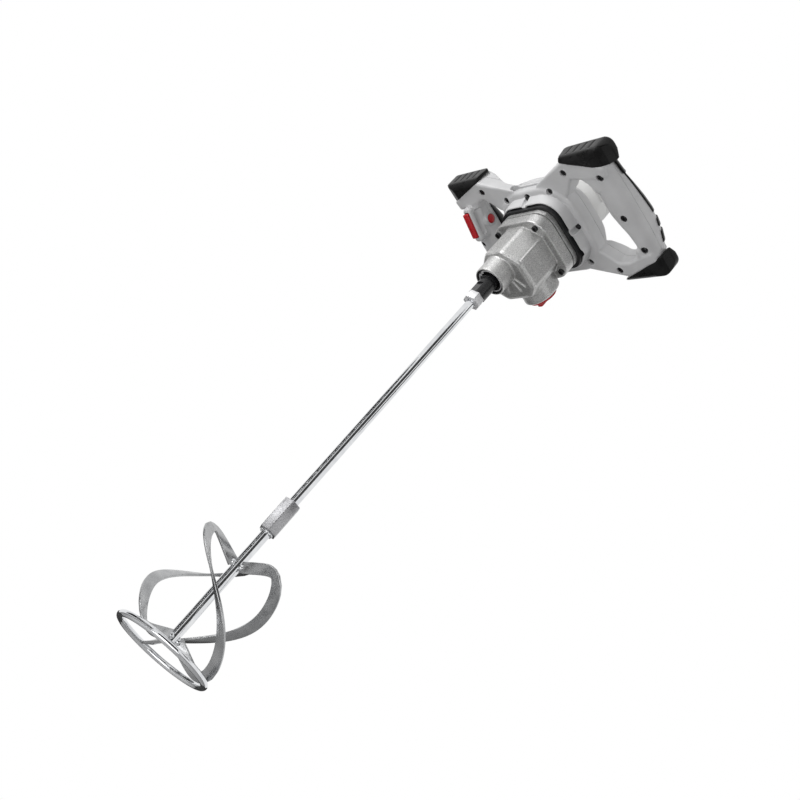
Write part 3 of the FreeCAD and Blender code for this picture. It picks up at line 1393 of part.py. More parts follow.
# Top-level sub-parts, checked and written out
NODES = (
    "spindle", "low_gear", "high_gear", "shift_sleeve", "lock_nut", "upper_rod", "hex_coupling", "lower_rod",
    "paddle_blade_1", "paddle_blade_2", "paddle_blade_3", "paddle_ring",
    "gear_case", "bearing_bridge", "bearing_plate", "case_screws", "nose_seal", "retaining_ring", "nose_bearing",
    "spindle_rear_bearing", "lay_shaft", "lay_gear", "lay_front_bush", "lay_rear_bearing",
    "selector_knob", "selector_shaft", "selector_bush", "shift_fork",
    "armature_shaft", "armature_core", "armature_windings", "commutator", "cooling_fan",
    "armature_front_bearing", "armature_rear_bearing", "stator_core", "field_coils",
    "carbon_brushes", "brush_springs", "brush_holders",
    "motor_housing", "rear_cover", "cover_screws", "cord_inlet", "control_module", "air_baffle",
    "handle_front_shell", "handle_rear_shell", "bumper_cap_right_top", "bumper_cap_right_bottom",
    "bumper_cap_left_top", "bumper_cap_left_bottom", "grip_inlay_right", "grip_inlay_left", "shell_screws",
    "trigger", "trigger_spring", "switch_block", "lock_button",
)
for obj in doc.Objects:
    if {"Invalid", "Error"} & set(obj.State):
        raise RuntimeError(f"{obj.Label} failed: {obj.State}")
os.makedirs("parts", exist_ok=True)
for name in NODES:
    shape = doc.getObjectsByLabel(name)[0].Shape
    if shape.isNull() or not shape.isValid():
        raise RuntimeError(f"{name} has no valid shape")
    shape.exportStep(f"parts/{name}.step")
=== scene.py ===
import json
import math

import bmesh
import bpy
from mathutils import Matrix, Vector


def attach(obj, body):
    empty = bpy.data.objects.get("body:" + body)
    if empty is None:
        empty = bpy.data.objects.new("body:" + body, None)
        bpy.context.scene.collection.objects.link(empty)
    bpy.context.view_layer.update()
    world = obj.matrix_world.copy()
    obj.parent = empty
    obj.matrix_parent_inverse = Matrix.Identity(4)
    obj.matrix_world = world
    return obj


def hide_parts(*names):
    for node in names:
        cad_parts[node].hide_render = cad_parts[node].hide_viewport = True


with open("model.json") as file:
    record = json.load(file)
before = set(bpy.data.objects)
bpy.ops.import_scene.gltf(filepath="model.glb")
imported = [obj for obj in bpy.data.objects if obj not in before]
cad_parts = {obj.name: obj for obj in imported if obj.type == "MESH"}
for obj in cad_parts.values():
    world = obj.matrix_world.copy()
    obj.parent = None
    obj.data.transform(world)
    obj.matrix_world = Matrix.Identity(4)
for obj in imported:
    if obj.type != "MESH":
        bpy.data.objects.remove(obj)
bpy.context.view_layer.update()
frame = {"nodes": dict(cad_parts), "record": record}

# Lengths are in millimetres until a piece is finished
MM = 0.001
WELD = 0.01
FULL_TURN = 2 * math.pi
QUARTER_TURN = math.pi / 2
ORIGIN = (0.0, 0.0, 0.0)
UPWARD = (0.0, 0.0, 1.0)
MOTOR_Y = 16.3
UNIT_HALF = 0.5
OVERRUN = 1.0

# Roundness of edges and turned shapes, with angles in radians
ROUND_PROFILE = 0.5
RIM_ANGLE = 1.0
EDGE_ANGLE = math.radians(50)
CORNER_STEPS = 6
EDGE_STEPS = 4
FINE_STEPS = 3
EASE_STEPS = 2
BORE_STEPS = 128
TURN_STEPS = 64
POST_STEPS = 48
HEAD_STEPS = 32
SMALL_STEPS = 24
EYE_STEPS = 16
WIRE_STEPS = 12
SOFTEN_SHARE = 0.5

# Angles in degrees past which a finished piece shows a crease
CREASE = 32
MOULDED_CREASE = 40
SHELL_CREASE = 50
SOFT_CREASE = 60

# Camera
CAMERA_PLACE = (1.0755, -0.5180, -0.8073)
CAMERA_AIM = (-0.80215, 0.39793, 0.44520)
CAMERA_UP = (0.00598, -0.74019, 0.67237)
CAMERA_LENS = 49.5
CAMERA_REACH = 20.0

# Studio
FLOOR_Z = -1.2
FLOOR_SIDE = 9.0
AMBIENT = 0.22
WHITE = (1.0, 1.0, 1.0, 1.0)
LAMP_UP = (0.1, 0.3, 1.0)
LAMPS = {"key_light": ((-0.15, -1.65, 0.16), 0.9, 27.0), "fill_light": ((0.75, -0.55, -1.25), 1.3, 18.0),
         "back_light": ((1.1, 0.5, 1.3), 1.0, 11.0)}
UNREFLECTED = ("back_light",)
SCREENS = {"left_screen": ((-0.35, -1.25, 0.0), 2.0, 1.1), "low_screen": ((-1.3, 0.65, -0.9), 1.8, 1.4),
           "front_screen": ((1.35, -0.7, 0.15), 1.5, 1.4), "right_screen": ((1.5, 0.75, 1.0), 0.7, 1.0)}


def linked(obj):
    bpy.context.scene.collection.objects.link(obj)
    return obj


def aimed(back, up, place):
    """A placement whose own z axis points backwards."""
    back = Vector(back).normalized()
    right = Vector(up).cross(back).normalized()
    turn = Matrix((right, back.cross(right), back)).transposed().to_4x4()
    return Matrix.Translation(place) @ turn


def make_camera():
    camera = linked(bpy.data.objects.new("camera", bpy.data.cameras.new("camera")))
    camera.data.lens = CAMERA_LENS
    camera.data.clip_end = CAMERA_REACH
    camera.matrix_world = aimed(-Vector(CAMERA_AIM), CAMERA_UP, CAMERA_PLACE)
    bpy.context.scene.camera = camera


def soft_box(name, place, side, watts):
    """A square lamp that faces the middle of the tool."""
    lamp = bpy.data.lights.new(name, "AREA")
    lamp.shape = "SQUARE"
    lamp.size = side
    lamp.energy = watts
    box = linked(bpy.data.objects.new(name, lamp))
    box.matrix_world = aimed(place, LAMP_UP, place)
    box.visible_glossy = name not in UNREFLECTED


def dark_screen(name, place, width, height, surface):
    """A dark screen that only shows in polished metal."""
    bm = bmesh.new()
    bmesh.ops.create_grid(bm, x_segments=1, y_segments=1, size=UNIT_HALF)
    bmesh.ops.scale(bm, vec=(width, height, 1.0), verts=bm.verts)
    bmesh.ops.transform(bm, matrix=aimed(place, UPWARD, place), verts=bm.verts)
    mesh = bpy.data.meshes.new(name)
    bm.to_mesh(mesh)
    bm.free()
    mesh.materials.append(surface)
    screen = linked(bpy.data.objects.new(name, mesh))
    screen.visible_camera = False
    screen.visible_diffuse = False
    screen.visible_shadow = False
    screen.visible_transmission = False


def make_world():
    world = bpy.data.worlds.new("studio")
    world.use_nodes = True
    tree = world.node_tree
    tree.nodes.clear()
    path = tree.nodes.new("ShaderNodeLightPath")
    seen = path.outputs["Is Camera Ray"]
    for ray in ("Is Glossy Ray", "Is Transmission Ray"):
        either = tree.nodes.new("ShaderNodeMath")
        either.operation = "MAXIMUM"
        tree.links.new(seen, either.inputs[0])
        tree.links.new(path.outputs[ray], either.inputs[1])
        seen = either.outputs["Value"]
    light = tree.nodes.new("ShaderNodeBackground")
    light.inputs["Strength"].default_value = AMBIENT
    backdrop = tree.nodes.new("ShaderNodeBackground")
    backdrop.inputs["Color"].default_value = WHITE
    backdrop.inputs["Strength"].default_value = 1.0
    mix = tree.nodes.new("ShaderNodeMixShader")
    tree.links.new(seen, mix.inputs["Fac"])
    tree.links.new(light.outputs["Background"], mix.inputs[1])
    tree.links.new(backdrop.outputs["Background"], mix.inputs[2])
    out = tree.nodes.new("ShaderNodeOutputWorld")
    tree.links.new(mix.outputs["Shader"], out.inputs["Surface"])
    bpy.context.scene.world = world


# Finishes
PATTERN_BAND = (0.35, 0.65)
MOTTLE_DETAIL = 4
SCUFF_DETAIL = 3
GRAIN_DETAIL = 2


def grain_place(tree):
    return tree.nodes.new("ShaderNodeTexCoord").outputs["Object"]


def cloud(tree, place, scale, detail):
    noise = tree.nodes.new("ShaderNodeTexNoise")
    noise.inputs["Scale"].default_value = scale
    noise.inputs["Detail"].default_value = detail
    tree.links.new(place, noise.inputs["Vector"])
    return noise.outputs["Fac"]


def spread(tree, value, low, high):
    """Takes the middle band of a pattern to the span from low to high."""
    node = tree.nodes.new("ShaderNodeMapRange")
    node.inputs["From Min"].default_value = PATTERN_BAND[0]
    node.inputs["From Max"].default_value = PATTERN_BAND[1]
    node.inputs["To Min"].default_value = low
    node.inputs["To Max"].default_value = high
    tree.links.new(value, node.inputs["Value"])
    return node.outputs["Result"]


def tone(tree, value, dark, light):
    node = tree.nodes.new("ShaderNodeMix")
    node.data_type = "RGBA"
    colours = [socket for socket in node.inputs if socket.type == "RGBA"]
    colours[0].default_value = (*dark, 1.0)
    colours[1].default_value = (*light, 1.0)
    tree.links.new(value, node.inputs[0])
    return next(socket for socket in node.outputs if socket.type == "RGBA")


def finish(name, dark, light, mottle, rough, scuff, grain, depth, metallic=0.0, specular=0.5):
    """A surface with mottled colour, uneven gloss and a fine grain."""
    material = bpy.data.materials.new(name)
    material.use_nodes = True
    tree = material.node_tree
    shader = tree.nodes["Principled BSDF"]
    place = grain_place(tree)
    colour = tone(tree, spread(tree, cloud(tree, place, mottle, MOTTLE_DETAIL), 0, 1), dark, light)
    tree.links.new(colour, shader.inputs["Base Color"])
    gloss = spread(tree, cloud(tree, place, scuff, SCUFF_DETAIL), *rough)
    tree.links.new(gloss, shader.inputs["Roughness"])
    bump = tree.nodes.new("ShaderNodeBump")
    bump.inputs["Strength"].default_value = 1.0
    bump.inputs["Distance"].default_value = depth
    tree.links.new(cloud(tree, place, grain, GRAIN_DETAIL), bump.inputs["Height"])
    tree.links.new(bump.outputs["Normal"], shader.inputs["Normal"])
    shader.inputs["Metallic"].default_value = metallic
    shader.inputs["Specular IOR Level"].default_value = specular
    return material


# Scales are per metre and depths in metres
LOOKS = {
    "chrome": {"name": "chromed_steel", "dark": (0.66, 0.67, 0.69), "light": (0.76, 0.77, 0.78),
               "mottle": 90, "rough": (0.05, 0.1), "scuff": 160, "grain": 45, "depth": 0.000003,
               "metallic": 1.0},
    "satin": {"name": "brushed_steel", "dark": (0.30, 0.30, 0.31), "light": (0.42, 0.42, 0.43),
              "mottle": 700, "rough": (0.24, 0.38), "scuff": 900, "grain": 1800, "depth": 0.000006,
              "metallic": 1.0},
    "blade": {"name": "blade_steel", "dark": (0.34, 0.345, 0.35), "light": (0.44, 0.445, 0.45),
              "mottle": 60, "rough": (0.22, 0.34), "scuff": 140, "grain": 600, "depth": 0.000006,
              "metallic": 1.0},
    "cast": {"name": "cast_aluminium", "dark": (0.34, 0.34, 0.34), "light": (0.66, 0.66, 0.65),
             "mottle": 900, "rough": (0.36, 0.5), "scuff": 700, "grain": 1000, "depth": 0.0002,
             "metallic": 0.92},
    "turned": {"name": "turned_steel", "dark": (0.45, 0.45, 0.46), "light": (0.6, 0.6, 0.61),
               "mottle": 260, "rough": (0.22, 0.36), "scuff": 500, "grain": 1500, "depth": 0.00002,
               "metallic": 1.0},
    "bright": {"name": "zinc_plate", "dark": (0.62, 0.62, 0.63), "light": (0.74, 0.74, 0.75),
               "mottle": 200, "rough": (0.38, 0.5), "scuff": 300, "grain": 900, "depth": 0.00002,
               "metallic": 0.5},
    # On the screw heads this near-black is painted shade, standing for the shadow in their recesses
    "black_steel": {"name": "black_steel", "dark": (0.006, 0.006, 0.007),
                    "light": (0.014, 0.014, 0.015), "mottle": 300, "rough": (0.2, 0.34), "scuff": 420,
                    "grain": 900, "depth": 0.00002, "specular": 0.4},
    "grey": {"name": "grey_plastic", "dark": (0.50, 0.50, 0.505), "light": (0.56, 0.56, 0.565),
             "mottle": 30, "rough": (0.42, 0.52), "scuff": 80, "grain": 2600, "depth": 0.00004,
             "specular": 0.4},
    # A lighter copy of the grey plastic: painted light, standing for the light that falls on the motor shell
    "lit_grey": {"name": "lit_grey_plastic", "dark": (0.74, 0.74, 0.73), "light": (0.80, 0.80, 0.79),
             "mottle": 30, "rough": (0.42, 0.52), "scuff": 80, "grain": 2400, "depth": 0.00004,
             "specular": 0.4},
    "rubber": {"name": "black_rubber", "dark": (0.006, 0.006, 0.006), "light": (0.012, 0.012, 0.012),
               "mottle": 60, "rough": (0.24, 0.36), "scuff": 120, "grain": 2200, "depth": 0.00003,
               "specular": 0.16},
    "black": {"name": "black_plastic", "dark": (0.007, 0.007, 0.008), "light": (0.014, 0.014, 0.015),
              "mottle": 60, "rough": (0.34, 0.48), "scuff": 150, "grain": 1800, "depth": 0.00004,
              "specular": 0.35},
    "red": {"name": "red_plastic", "dark": (0.40, 0.010, 0.014), "light": (0.48, 0.014, 0.020),
            "mottle": 50, "rough": (0.24, 0.36), "scuff": 110, "grain": 1800, "depth": 0.00003,
            "specular": 0.4},
    "bronze": {"name": "bearing_bronze", "dark": (0.45, 0.28, 0.12), "light": (0.60, 0.40, 0.18),
               "mottle": 300, "rough": (0.25, 0.4), "scuff": 500, "grain": 1200, "depth": 0.00002,
               "metallic": 1.0},
    "copper": {"name": "enamelled_copper", "dark": (0.38, 0.14, 0.05), "light": (0.56, 0.24, 0.1),
               "mottle": 500, "rough": (0.25, 0.4), "scuff": 400, "grain": 900, "depth": 0.00005,
               "metallic": 1.0},
    "carbon": {"name": "brush_carbon", "dark": (0.02, 0.02, 0.02), "light": (0.045, 0.045, 0.045),
               "mottle": 600, "rough": (0.5, 0.7), "scuff": 400, "grain": 1500, "depth": 0.00003},
    "floor": {"name": "pale_floor", "dark": (0.82, 0.82, 0.82), "light": (0.86, 0.86, 0.86),
              "mottle": 2, "rough": (0.6, 0.8), "scuff": 5, "grain": 300, "depth": 0.0001},
    "screen": {"name": "dark_screen", "dark": (0.05, 0.05, 0.05), "light": (0.08, 0.08, 0.08),
               "mottle": 2, "rough": (0.8, 0.9), "scuff": 5, "grain": 300, "depth": 0.0001},
}


# Shapes
def joined(solids):
    whole = bmesh.new()
    for solid in solids:
        mesh = bpy.data.meshes.new("part")
        solid.to_mesh(mesh)
        solid.free()
        whole.from_mesh(mesh)
        bpy.data.meshes.remove(mesh)
    return whole


def bevelled(bm, edges, width, segments):
    bmesh.ops.bevel(bm, geom=list(edges), offset=width, offset_type="OFFSET", affect="EDGES",
                    segments=segments, profile=ROUND_PROFILE, material=-1, clamp_overlap=True)


def rounded_corners(bm, corners, radius, steps):
    return bmesh.ops.bevel(bm, geom=corners, offset=radius, offset_type="OFFSET", affect="VERTICES",
                           segments=steps, profile=ROUND_PROFILE, material=-1, clamp_overlap=True)


def sharp_edges(bm):
    return [edge for edge in bm.edges if len(edge.link_faces) == 2 and edge.calc_face_angle() > EDGE_ANGLE]


def is_level(edge):
    return abs(edge.verts[0].co.z - edge.verts[1].co.z) < WELD


def end_rims(bm):
    """The edges round the two level ends of an upright solid."""
    return [edge for edge in bm.edges if is_level(edge) and edge.calc_face_angle(0) > RIM_ANGLE]


def moved(bm, x=0.0, y=0.0, z=0.0):
    bmesh.ops.translate(bm, vec=(x, y, z), verts=bm.verts)
    return bm


def turned_to(bm, angle, axis):
    bmesh.ops.rotate(bm, cent=ORIGIN, matrix=Matrix.Rotation(angle, 3, axis), verts=bm.verts)
    return bm


def squared(bm):
    bmesh.ops.remove_doubles(bm, verts=bm.verts, dist=WELD)
    bmesh.ops.recalc_face_normals(bm, faces=bm.faces)
    return bm


def raised(bm, height):
    """Draws a flat face up into a solid."""
    made = bmesh.ops.extrude_face_region(bm, geom=list(bm.faces))
    rising = [item for item in made["geom"] if isinstance(item, bmesh.types.BMVert)]
    bmesh.ops.translate(bm, vec=(0, 0, height), verts=rising)
    return squared(bm)


def prism(points, bottom, top, corner=0.0, steps=CORNER_STEPS):
    """A plan outline with rounded corners, raised from bottom to top."""
    bm = bmesh.new()
    corners = [bm.verts.new((x, y, bottom)) for x, y in points]
    bm.faces.new(corners)
    if corner:
        rounded_corners(bm, corners, corner, steps)
    return raised(bm, top - bottom)


def rounded_prism(points, bottom, top, corner, edge, steps=CORNER_STEPS, edge_steps=EDGE_STEPS):
    """A prism whose two ends are rounded over."""
    bm = prism(points, bottom, top, corner, steps)
    bevelled(bm, end_rims(bm), edge, edge_steps)
    return bm


def rounded_loop(bm, corners, radius, steps):
    """The face of a flat outline after its corners are rounded."""
    spots = [bm.verts.new(corner) for corner in corners]
    bm.faces.new(spots)
    made = rounded_corners(bm, spots, radius, steps)
    return made["verts"][0].link_faces[0]


def lofted(bm, faces):
    """Joins outlines into one solid that keeps its two end faces."""
    loops = [list(face.edges) for face in faces]
    for face in faces[1:-1]:
        bm.faces.remove(face)
    for near, far in zip(loops, loops[1:]):
        bmesh.ops.bridge_loops(bm, edges=near + far)
    bmesh.ops.recalc_face_normals(bm, faces=bm.faces)
    return bm


def spun(bm, geom, steps):
    """Draws edges once round the upright axis."""
    bmesh.ops.spin(bm, geom=geom, cent=ORIGIN, axis=UPWARD, angle=FULL_TURN, steps=steps, use_merge=True)
    return bm


def turned(profile, steps=TURN_STEPS):
    """A profile of radius and height spun about the upright axis."""
    bm = bmesh.new()
    spots = [bm.verts.new((radius, 0, height)) for radius, height in profile]
    edges = [bm.edges.new(pair) for pair in zip(spots, spots[1:])]
    return squared(spun(bm, spots + edges, steps))


def drum(radius, bottom, top, edge=0.0, steps=TURN_STEPS):
    """A solid disc or bar with its rims eased by the given width."""
    profile = [(0, bottom), (radius - edge, bottom), (radius, bottom + edge), (radius, top - edge),
               (radius - edge, top), (0, top)]
    return turned(profile, steps)


def hoop(radius, bar, section_steps, steps):
    """A round bar bent into a ring about the upright axis."""
    bm = bmesh.new()
    bmesh.ops.create_circle(bm, segments=section_steps, radius=bar)
    moved(turned_to(bm, QUARTER_TURN, "X"), x=radius)
    return spun(bm, bm.verts[:] + bm.edges[:], steps)


def box_plan(half_x, half_y):
    return [(half_x, -half_y), (half_x, half_y), (-half_x, half_y), (-half_x, -half_y)]


def square_plan(half, y=0.0):
    """A square outline whose middle lies at the given y."""
    return [(x, along + y) for x, along in box_plan(half, half)]


def flipped(bm, across, along=1):
    """Mirrors a shape, with its faces turned outward again."""
    bmesh.ops.scale(bm, vec=(across, along, 1), verts=bm.verts)
    bmesh.ops.recalc_face_normals(bm, faces=bm.faces)
    return bm


def work_object(bm, name):
    mesh = bpy.data.meshes.new(name)
    bm.to_mesh(mesh)
    bm.free()
    return linked(bpy.data.objects.new(name, mesh))


def cleared(obj):
    mesh = obj.data
    bpy.data.objects.remove(obj)
    bpy.data.meshes.remove(mesh)


def settled(obj):
    """The form that an object's modifiers give it; the object itself goes."""
    graph = bpy.context.evaluated_depsgraph_get()
    mesh = bpy.data.meshes.new_from_object(obj.evaluated_get(graph))
    bm = bmesh.new()
    bm.from_mesh(mesh)
    bpy.data.meshes.remove(mesh)
    cleared(obj)
    return bm


def melted(solids, voxel, passes):
    """Overlapping solids run together into one moulded skin."""
    obj = work_object(joined(solids), "melt")
    skin = obj.modifiers.new("skin", "REMESH")
    skin.mode = "VOXEL"
    skin.voxel_size = voxel
    soften = obj.modifiers.new("soften", "SMOOTH")
    soften.factor = SOFTEN_SHARE
    soften.iterations = passes
    return settled(obj)


def carved(body, cutters):
    """Takes cutters away from a body; cutters in one list stand clear of each other."""
    obj = work_object(body, "carve")
    tool = work_object(joined(cutters), "cutter")
    cut = obj.modifiers.new("cut", "BOOLEAN")
    cut.operation = "DIFFERENCE"
    cut.solver = "MANIFOLD"
    cut.object = tool
    result = settled(obj)
    cleared(tool)
    return result


def finished(name, bm, body, look, slot, *nodes, crease=CREASE):
    """Closes a piece, takes it to metres and puts it on its body."""
    squared(bm)
    bmesh.ops.scale(bm, vec=(MM, MM, MM), verts=bm.verts)
    mesh = bpy.data.meshes.new(name)
    bm.to_mesh(mesh)
    bm.free()
    mesh.shade_smooth()
    mesh.set_sharp_from_angle(angle=math.radians(crease))
    mesh.materials.append(FINISH[look])
    piece = linked(bpy.data.objects.new(name, mesh))
    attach(piece, body)
    if nodes:
        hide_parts(*nodes)


make_camera()
make_world()
FINISH = {key: finish(**look) for key, look in LOOKS.items()}

# Studio pieces
floor = bmesh.new()
bmesh.ops.create_grid(floor, x_segments=1, y_segments=1, size=FLOOR_SIDE / 2)
floor_mesh = bpy.data.meshes.new("floor")
bmesh.ops.translate(floor, vec=(0, 0, FLOOR_Z), verts=floor.verts)
floor.to_mesh(floor_mesh)
floor.free()
floor_mesh.materials.append(FINISH["floor"])
linked(bpy.data.objects.new("floor", floor_mesh))
for name, (place, side, watts) in LAMPS.items():
    soft_box(name, place, side, watts)
for name, (place, width, height) in SCREENS.items():
    dark_screen(name, place, width, height, FINISH["screen"])

# Paddle sizes
ROD_RADIUS = 6.1
ROD_FOOT = -606.5
ROD_EASE = 0.8
ROD_TOP_EASE = 0.3
STUD_RADIUS = 7.0
STUD_EXTRA = 1.0
STUD_EASE = 0.5
COUPLING_Z = -425.0
COUPLING_LENGTH = 45.0
COUPLING_FLATS = 20.5
COUPLING_FOOT = COUPLING_Z - COUPLING_LENGTH / 2
NUT_TOP = -30.0
NUT_FOOT = -42.5
NUT_FLATS = 21.5
HEX_SIDES = 6
HEX_EASE = 0.5
HEX_CHAMFER = 1.6
BLADES = 3
BLADE_START = math.radians(-102.0)
BLADE_TWIST = math.radians(161.0)
BLADE_REACH = 58.0
BLADE_WIDTH = 13.4
BLADE_THICKNESS = 3.0
BLADE_ROUNDNESS = 7
BLADE_LEAN = 4
BLADE_STATIONS = 72
BLADE_EDGE = 0.7
BLADE_STEP_SHARE = 0.001
MIDDLE_SHARE = 0.5
ARM_STATION_SHARE = 0.2
ARM_REACH_SHARE = 0.97
HUB_Z = -500.5
FOOT_Z = -598.5
HUB_RISE = 21.0
FOOT_DROOP = 24.5
RING_Z = -618.0
RING_RADIUS = 58.0
RING_BAR = 3.98
RING_STEPS = 160
BEAD_DROP = 0.8
BEAD_WIDTH = 2.2
BEAD_LUMPS = 7
BEAD_LUMP_STEPS = 8
RIPPLE_SHARE = 0.22
RIPPLE_TURNS = 2.0
RIPPLE_START = 0.7
LUMP_OUT = 0.8
LUMP_RADIUS = 4.0
LUMP_ROUNDNESS = 3
LUMP_SHARE = 0.2
LUMP_WAVES = ((1.9, 0.4), (1.7, 1.1), (2.3, 0.0))


def hex_bar(flats, bottom, top):
    """A hexagon bar with its corners turned down at both ends."""
    bm = bmesh.new()
    bmesh.ops.create_circle(bm, cap_ends=True, segments=HEX_SIDES, radius=flats / math.sqrt(3))
    raised(moved(bm, z=bottom), top - bottom)
    bevelled(bm, [edge for edge in bm.edges if not is_level(edge)], HEX_EASE, FINE_STEPS)
    bevelled(bm, end_rims(bm), HEX_CHAMFER, EASE_STEPS)
    return bm


def outward_from(angle):
    return Vector((math.cos(angle), math.sin(angle), 0))


def blade_line(share, start):
    """A place on a blade's middle line, with its turn about the rod."""
    radius = BLADE_REACH * (1 - abs(2 * share - 1) ** BLADE_ROUNDNESS) ** (1 / BLADE_ROUNDNESS)
    angle = start + BLADE_TWIST * share
    out = radius / BLADE_REACH
    height = HUB_Z + (FOOT_Z - HUB_Z) * share
    height += HUB_RISE * out * (1 - share) ** BLADE_LEAN - FOOT_DROOP * out * share ** BLADE_LEAN
    return Vector((radius * math.cos(angle), radius * math.sin(angle), height)), angle, radius


def blade_across(share, start):
    """The direction of a blade's width, in the surface of its helix."""
    step = min(share, 1 - share) * BLADE_STEP_SHARE
    along = blade_line(share + step, start)[0] - blade_line(share - step, start)[0]
    _, angle, radius = blade_line(share, start)
    outward = outward_from(angle)
    fall = (FOOT_Z - HUB_Z) / BLADE_TWIST
    sideways = Vector((-radius * math.sin(angle), radius * math.cos(angle), fall))
    return outward.cross(sideways).normalized().cross(along.normalized()).normalized()


def reach_share(reach):
    """How far along a blade its arm has come out to a share of its full reach."""
    return (1 - (1 - reach ** BLADE_ROUNDNESS) ** (1 / BLADE_ROUNDNESS)) / 2


def blade_share(even):
    """Spaces the stations evenly along the two arms, and evenly down the helix between them."""
    half = min(even, 1 - even)
    weld = ROD_RADIUS / BLADE_REACH
    if half < ARM_STATION_SHARE:
        share = reach_share(weld + (ARM_REACH_SHARE - weld) * half / ARM_STATION_SHARE)
    else:
        first = reach_share(ARM_REACH_SHARE)
        down = (half - ARM_STATION_SHARE) / (MIDDLE_SHARE - ARM_STATION_SHARE)
        share = first + (MIDDLE_SHARE - first) * down
    return share if even < MIDDLE_SHARE else 1 - share


def make_blade(start):
    bm = bmesh.new()
    bmesh.ops.create_grid(bm, x_segments=1, y_segments=BLADE_STATIONS, size=UNIT_HALF)
    for vert in bm.verts:
        share = blade_share(vert.co.y + UNIT_HALF)
        place = blade_line(share, start)[0]
        vert.co = place + blade_across(share, start) * (BLADE_WIDTH * vert.co.x)
    bmesh.ops.recalc_face_normals(bm, faces=bm.faces)
    for vert in bm.verts:
        vert.normal_update()
    strip = [(vert, vert.normal * BLADE_THICKNESS / 2) for vert in bm.verts]
    for vert, lift in strip:
        vert.co -= lift
    bmesh.ops.solidify(bm, geom=list(bm.faces), thickness=-BLADE_THICKNESS)
    squared(bm)
    bevelled(bm, sharp_edges(bm), BLADE_EDGE, FINE_STEPS)
    return bm


def weld_bead(radius, height, width, lumps):
    """A bead of weld round a rod, with the ripples that a torch leaves."""
    bm = hoop(radius, width, WIRE_STEPS, lumps * BEAD_LUMP_STEPS)
    for vert in bm.verts:
        angle = math.atan2(vert.co.y, vert.co.x)
        wave = math.sin(lumps * angle) * math.cos(RIPPLE_TURNS * angle + RIPPLE_START)
        middle = outward_from(angle) * radius
        vert.co = middle + (vert.co - middle) * (1 + RIPPLE_SHARE * wave)
    return moved(squared(bm), z=height)


def weld_lump(place, size):
    """A drop of weld where two bars meet."""
    bm = bmesh.new()
    bmesh.ops.create_icosphere(bm, subdivisions=LUMP_ROUNDNESS, radius=size)
    for vert in bm.verts:
        waves = [math.sin(along * pace + start) for along, (pace, start) in zip(vert.co, LUMP_WAVES)]
        vert.co *= 1 + LUMP_SHARE * math.prod(waves)
    return moved(bm, *place)


# Paddle
bar = drum(ROD_RADIUS, ROD_FOOT, COUPLING_Z, ROD_EASE)
finished("lower_rod_bar", bar, "spindle_unit", "chrome", "chromed_steel", "lower_rod")
bar = drum(ROD_RADIUS, COUPLING_Z, NUT_FOOT, ROD_TOP_EASE)
stud = drum(STUD_RADIUS, NUT_FOOT - STUD_EXTRA, NUT_TOP, STUD_EASE)
finished("upper_rod_bar", joined([bar, stud]), "spindle_unit", "chrome", "chromed_steel", "upper_rod")
sleeve = hex_bar(COUPLING_FLATS, COUPLING_FOOT, COUPLING_FOOT + COUPLING_LENGTH)
finished("hex_sleeve", sleeve, "spindle_unit", "satin", "brushed_steel", "hex_coupling")
nut = hex_bar(NUT_FLATS, NUT_FOOT, NUT_TOP)
finished("hex_lock_nut", nut, "spindle_unit", "bright", "chromed_steel", "lock_nut")
ring = moved(squared(hoop(RING_RADIUS, RING_BAR, SMALL_STEPS, RING_STEPS)), z=RING_Z)
finished("paddle_hoop", ring, "spindle_unit", "chrome", "chromed_steel", "paddle_ring")
welds = [weld_bead(ROD_RADIUS, COUPLING_FOOT - BEAD_DROP, BEAD_WIDTH, BEAD_LUMPS)]
for index in range(BLADES):
    start = BLADE_START + index * FULL_TURN / BLADES
    finished(f"blade_strip_{index + 1}", make_blade(start), "spindle_unit", "blade", "chromed_steel",
             f"paddle_blade_{index + 1}")
    root = blade_share(0.0)
    for share in (root, 1 - root):
        place, angle, _ = blade_line(share, start)
        spot = outward_from(angle) * (ROD_RADIUS + LUMP_OUT) + Vector((0, 0, place.z))
        welds.append(weld_lump(spot, LUMP_RADIUS))
finished("paddle_welds", joined(welds), "spindle_unit", "chrome", "chromed_steel", crease=SOFT_CREASE)

# Handle sizes
HANDLE_Z = 132.0
HANDLE_TOP = 166.0
SPLIT_Z = 150.0
SEAM = 0.25
HALF_SPACE = 400.0
GRIP_X = 126.0
GRIP_LOW = 133.0
GRIP_CORNER = 14.5
GRIP_STEPS = 7
GRIP_STATIONS = ((-76, 108.5, 143.0, 163), (-52, 107.5, 144.5, 165), (-26, 106.0, 146.0, 170.5),
                 (-4, 106.0, 146.5, 175.0), (14, 110.5, 147.0, 177), (30, 115.5, 147.0, 177),
                 (47, 118.0, 146.5, 174.5), (60, 117.0, 145.5, 171), (76, 111.0, 143.0, 167))
STRUT_EDGE = 6.5
STRUT_CORNER = 7.0
STRUT_PLANS = {-1: ((20, 69), (84, 95.5), (90, 96), (142, 74), (140, 58), (109, 60), (84, 67), (64, 44),
                    (30, 40)),
               1: ((20, 66), (84, 90.5), (90, 91.5), (142, 74), (140, 60), (112, 65), (98, 70), (84, 68),
                   (64, 44), (30, 40))}
WEB_SPAN = (132.5, 164.0)
WEB_EDGE = 4.0
WEB_PLANS = {-1: ((84, 66), (98, 62.5), (106, 52), (109, 38), (122, 38), (122, 74), (84, 76)),
             1: ((109, 69), (116, 62), (119, 52), (127, 52), (127, 74), (109, 76))}
RING_PLAN = ((0, 69), (29, 69), (54, 56), (64, 40), (65.5, 20), (66, 0))
RING_SHIFT = 1.8
RING_MIDDLE = MOTOR_Y + RING_SHIFT
LEFT_TILT = 0.1
LEFT_LEVEL = -35.0
LEFT_DROP = 4.0
RING_LOW = 130.0
RING_TOP = 164.0
RING_CORNER = 6.0
RING_EDGE = 5.0
NECK_SHARE = 0.58
NECK_RING = (66.0, 76.0)
NECK_GRIP = (36.0, 82.0)
MOULD_VOXEL = 1.2
MOULD_PASSES = 6
